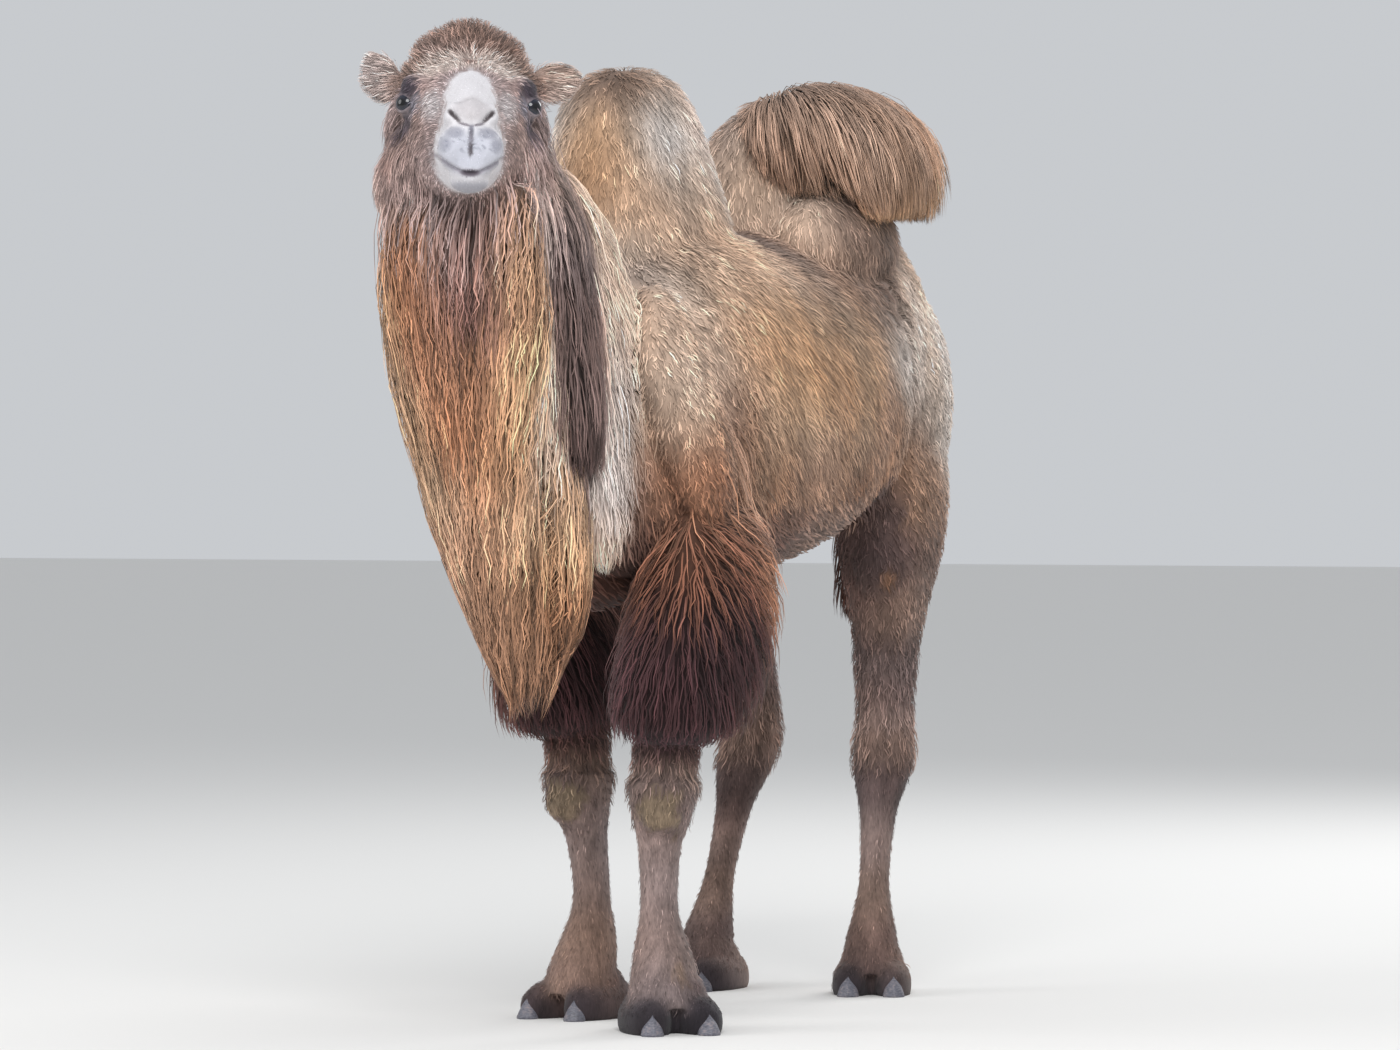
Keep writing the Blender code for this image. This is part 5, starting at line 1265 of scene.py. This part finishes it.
# materials
class Wire:
    # one value in a material's nodes, for plain arithmetic
    def __init__(self, tree, socket=None):
        self.tree = tree
        self.socket = socket

    def node(self, kind, settings=None, inputs=None, output=0):
        made = self.tree.nodes.new(kind)
        for name, value in (settings or {}).items():
            if name == "stops":
                ramp = made.color_ramp
                for place, colour in value[1:-1]:
                    ramp.elements.new(place).color = colour
                ends = (ramp.elements[0], ramp.elements[-1])
                for end, (place, colour) in zip(ends, (value[0], value[-1])):
                    end.position, end.color = place, colour
            else:
                setattr(made, name, value)
        for name, value in (inputs or {}).items():
            if isinstance(value, Wire):
                self.tree.links.new(value.socket, made.inputs[name])
            else:
                made.inputs[name].default_value = value
        return Wire(self.tree, made.outputs[output])

    def sum(self, operation, other, flipped=False):
        pair = (other, self) if flipped else (self, other)
        return self.node("ShaderNodeMath", {"operation": operation}, {0: pair[0], 1: pair[1]})

    def __add__(self, other):
        return self.sum("ADD", other)

    def __sub__(self, other):
        return self.sum("SUBTRACT", other)

    def __mul__(self, other):
        return self.sum("MULTIPLY", other)

    def __radd__(self, other):
        return self.sum("ADD", other, True)

    def __rsub__(self, other):
        return self.sum("SUBTRACT", other, True)

    def __rmul__(self, other):
        return self.sum("MULTIPLY", other, True)

    def shadedBy(self, grey):
        tone = self.node("ShaderNodeCombineColor", None, {0: grey, 1: grey, 2: grey})
        kind = {"data_type": "RGBA", "blend_type": "MULTIPLY"}
        return self.node("ShaderNodeMix", kind, {0: 1.0, 6: self, 7: tone}, 2)

    def attribute(self, name, output=0):
        return self.node("ShaderNodeAttribute", {"attribute_name": name}, output=output)

    def bump(self, height, strength, distance):
        return self.node("ShaderNodeBump", None, {"Strength": strength, "Distance": distance, "Height": height})

    def noise(self, scale, detail=3.0, stretch=None):
        place = self.node("ShaderNodeTexCoord", output=3)
        if stretch:
            place = self.node("ShaderNodeMapping", None, {0: place, 3: stretch})
        return self.node("ShaderNodeTexNoise", None, {"Vector": place, "Scale": scale, "Detail": detail})


def material(name, fixed, varied):
    # fixed: numbers and colours on the shader itself. varied: a function giving what changes over the surface.
    made = bpy.data.materials.new(name)
    made.use_nodes = True
    shader = made.node_tree.nodes["Principled BSDF"]
    for socket, value in fixed.items():
        shader.inputs[socket].default_value = value
    start = Wire(made.node_tree)
    for socket, wire in varied(start).items():
        made.node_tree.links.new(wire.socket, shader.inputs[socket])
    return made


def rgb(name, gain=1.0):
    return (*[float(v) for v in toLinear(swatch(name) * gain)], 1.0)


# each noise: its size, its detail and how it is stretched
skinFinish = {"strands": (240.0, 4.0, (1.0, 1.0, 0.22)), "fine": (620.0, 2.0, (1.0, 1.0, 0.5)),
              "broad": (42.0, 4.0, (1.0, 1.0, 0.30)), "uneven": 0.65, "height": 0.0016, "bump": 0.75,
              "rough": 0.66, "roughSpan": 0.24}
hairFinish = {"strandScale": 2.6, "detail": 2.0, "dark": 0.68, "darkSpan": 0.64, "rough": 0.55,
              "roughSpan": 0.26}
nailFinish = {"layers": (160.0, 4.0, (1.0, 1.0, 2.4)), "cloud": (45.0, 2.0), "height": 0.001, "bump": 0.5,
              "tones": ((0.25, rgb("nearBlack", 0.95)), (0.5, rgb("blueGrey", 0.85)), (0.8, rgb("ashPink", 0.95))),
              "rough": 0.36, "roughSpan": 0.3}
eyeFinish = {"rays": (900.0, 3.0), "waver": 0.06, "rough": 0.04, "roughSpan": 0.03,
             # the faint blue of the iris's outer tones is painted reflection, over the eye's own near-black
             "tones": ((0.0, (0.002, 0.002, 0.003, 1)), (0.30, (0.003, 0.003, 0.004, 1)),
                       (0.42, (0.010, 0.010, 0.016, 1)), (0.80, (0.014, 0.018, 0.034, 1)),
                       (1.0, (0.030, 0.032, 0.046, 1)))}


def skinNodes(wire):
    furred = wire.attribute("coatColour", 3)
    strands, fine, broad = [wire.noise(*skinFinish[name]) for name in ("strands", "fine", "broad")]
    shade = 1 + furred * (skinFinish["uneven"] * (strands - 0.5) + skinFinish["uneven"] * (broad - 0.5))
    return {"Base Color": wire.attribute("coatColour").shadedBy(shade),
            "Roughness": skinFinish["rough"] + skinFinish["roughSpan"] * strands,
            "Normal": wire.bump(strands * 0.75 + fine * 0.25, skinFinish["bump"], skinFinish["height"])}


def hairNodes(wire):
    drawn = {"Vector": wire.attribute("strand", 1), "Scale": hairFinish["strandScale"],
             "Detail": hairFinish["detail"]}
    strands = wire.node("ShaderNodeTexNoise", None, drawn)
    shade = hairFinish["dark"] + hairFinish["darkSpan"] * strands
    return {"Base Color": wire.attribute("coatColour").shadedBy(shade),
            "Roughness": hairFinish["rough"] + hairFinish["roughSpan"] * strands}


def nailNodes(wire):
    layers, cloud = wire.noise(*nailFinish["layers"]), wire.noise(*nailFinish["cloud"])
    tone = wire.node("ShaderNodeValToRGB", {"stops": nailFinish["tones"]}, {0: layers * 0.6 + cloud * 0.4})
    return {"Base Color": tone, "Roughness": nailFinish["rough"] + nailFinish["roughSpan"] * cloud,
            "Normal": wire.bump(layers, nailFinish["bump"], nailFinish["height"])}


def eyeNodes(wire):
    rays = wire.noise(*eyeFinish["rays"])
    ring = wire.attribute("irisRing", 2) + eyeFinish["waver"] * (rays - 0.5)
    return {"Base Color": wire.node("ShaderNodeValToRGB", {"stops": eyeFinish["tones"]}, {0: ring}),
            "Roughness": eyeFinish["rough"] + eyeFinish["roughSpan"] * rays}


furGloss = {"Specular IOR Level": 0.15, "Sheen Roughness": 0.5}
skinMaterial = material("shortFur", {**furGloss, "Sheen Weight": 0.10}, skinNodes)
hairMaterial = material("hair", {**furGloss, "Sheen Weight": 0.12}, hairNodes)
nailMaterial = material("nail", {"Specular IOR Level": 0.45}, nailNodes)
eyeMaterial = material("eye", {"Coat Weight": 0.35, "Coat Roughness": 0.02, "Specular IOR Level": 0.35},
                       eyeNodes)


def dressed(name, mesh, skinning, standsFor):
    # one finished piece, smooth all over, in its material and in its place in the frame
    mesh.polygons.foreach_set("use_smooth", np.ones(len(mesh.polygons), bool))
    mesh.materials.append(skinning)
    made = linked(name, mesh)
    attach(made, "root")
    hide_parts(standsFor)


# finish the skin
skin.data.name = "skin"
# painted shade: how much darker the skin is painted under each coat, for the shade that the hair casts on it
depth = {"flank": 0.88, "belly": 0.80, "shoulder": 0.86, "hump": 0.86, "fringe": 0.64, "thigh": 0.86,
         "neckWool": 0.90, "beard": 0.55, "nape": 0.62, "muff": 0.55, "knee": 0.82, "leg": 0.92, "foot": 0.96,
         "tail": 0.7, "face": 0.86, "crown": 0.72, "ear": 0.85, "jowl": 0.78}
shadow = sum(share[:, at[region]] * depth[region] for region in regions)
velvet = muzzleShare(facial) * share[:, at["face"]]
# no painted shade on the bare white of nose and lips
shadow += (1 - shadow) * velvet
streaky = share[:, at["leg"]] + 0.6 * share[:, at["foot"]] + 0.5 * share[:, at["knee"]]
paintOn(skin.data, skinColour * shadow[:, None], 1 - velvet + 0.9 * streaky)
skin.data.transform(toRow)
skin.data.polygons.foreach_set("use_smooth", np.ones(len(skin.data.polygons), bool))
skin.data.materials.clear()
skin.data.materials.append(skinMaterial)
fleshNodes = [name for name in nodes if "eye_" not in name and "nail" not in name]
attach(skin, "root")
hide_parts(*fleshNodes)

# the coat
for name, own in coats.items():
    look = {**usualCoat, "region": name, **own}
    piece = coatMesh("coat_" + name, look)
    piece.data.materials.append(hairMaterial)
    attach(piece, "root")

# eyes: a dark ball with a wide pupil, under a clear wet front
pupil = {"across": 0.78, "upward": 1.15}
for side, word in ((1, "left"), (-1, "right")):
    ballMesh = meshOf(sphere(40, 28, head["eyeRadius"]), "eyeball_" + word)
    axis, along, upward = eyeFrame(side)
    p = valuesOf(ballMesh) / head["eyeRadius"]
    ring = np.sqrt((p @ along * pupil["across"]) ** 2 + (p @ upward * pupil["upward"]) ** 2)
    ring = np.where(p @ axis > 0, ring, 1.0)
    layer = ballMesh.attributes.new("irisRing", "FLOAT", "POINT")
    layer.data.foreach_set("value", np.clip(ring, 0, 1).astype(np.float32))
    ballMesh.transform(toRow @ toHead @ Matrix.Translation((side * head["eyeSpread"], head["eyeForward"], 0)))
    dressed("eyeball_" + word, ballMesh, eyeMaterial, "eye_" + word)
print("eyes done")

# nails: a blunt wedge at the tip of each toe, drawn in to a ridge at the top
nailShape = {"wide": 0.050, "long": 0.046, "high": 0.050, "narrow": 0.50, "lean": 0.018, "ridge": 0.0030}
for leg, (footX, footY, footTurn) in stance.items():
    for toe in (1, -1):
        outer = "outer" if (toe > 0) == (footX > 0) else "inner"
        name = ("fore_" if leg.startswith("fore") else "hind_") + leg[4:].lower() + "_nail_" + outer
        bm = sphere(40, 24)
        for vert in bm.verts:
            across, deep, high = vert.co
            lift = max(0.0, high)
            keel = nailShape["ridge"] * (1 - abs(across)) ** 3 if deep < 0 else 0.0
            vert.co = (across * nailShape["wide"] / 2 * (1 - nailShape["narrow"] * lift),
                       deep * nailShape["long"] / 2 + nailShape["lean"] * lift - keel, high * nailShape["high"])
        wide, long = footShape[leg[:4] + "Wide"], footShape[leg[:4] + "Long"]
        bm.transform(toRow @ Matrix.Translation((footX, footY, 0)) @ Matrix.Rotation(radians(footTurn), 4, "Z")
                     @ Matrix.Rotation(radians(toe * footShape["splay"]), 4, "Z")
                     @ Matrix.Translation((toe * wide * 0.50, -long * 0.95, 0.004)))
        for vert in bm.verts:
            vert.co.z = max(vert.co.z, 0.0)
        dressed(name + "_horn", meshOf(bm, name + "_horn"), nailMaterial, name)
print("nails done")

# floor, light and camera
studio = {"floor": 120.0, "floorColour": (0.80, 0.79, 0.77, 1), "air": (0.93, 0.96, 1.0, 1), "airLight": 0.62}
bm = bmesh.new()
bmesh.ops.create_grid(bm, x_segments=2, y_segments=2, size=studio["floor"] / 2)
floor = linked("floor", meshOf(bm, "floor"))
floor.data.materials.append(material("paleFloor", {"Roughness": 0.9, "Base Color": studio["floorColour"]},
                                     lambda wire: {}))

scene = bpy.context.scene
scene.world = bpy.data.worlds.new("soft studio")
scene.world.use_nodes = True
sky = scene.world.node_tree.nodes["Background"]
sky.inputs[0].default_value = studio["air"]
sky.inputs[1].default_value = studio["airLight"]
scene.view_settings.view_transform = "Standard"

lamps = {       # place, size, power, what it points at
    "key": ((3.6, -7.5, 6.5), 5.0, 620.0, (0.0, -0.2, 1.1)),
    "fill": ((-6.5, -5.0, 4.0), 5.0, 210.0, (0.0, 0.0, 1.1)),
    "back": ((2.0, 8.0, 5.5), 5.0, 300.0, (0.0, 0.4, 1.2)),
}
for name, (place, size, power, target) in lamps.items():
    light = bpy.data.lights.new(name, "AREA")
    light.shape = "DISK"
    light.size = size
    light.energy = power
    lamp = linked(name, light)
    lamp.location = place
    lamp.rotation_mode = "QUATERNION"
    lamp.rotation_quaternion = (Vector(target) - Vector(place)).to_track_quat("-Z", "Y")

camera = linked("camera", bpy.data.cameras.new("camera"))
view = {"place": (5.829, -13.141, 1.232), "azimuth": 23.0, "down": 0.561, "lens": 170.74}
camera.location = toRow @ Vector(view["place"])
around, down = radians(view["azimuth"]), radians(view["down"])
gaze = Vector((-sin(around) * cos(down), cos(around) * cos(down), -sin(down)))
camera.rotation_mode = "QUATERNION"
camera.rotation_quaternion = gaze.to_track_quat("-Z", "Y")
camera.data.lens = view["lens"]
camera.data.sensor_width = 36.0
camera.data.clip_end = 200.0
scene.camera = camera

print("camel finished")
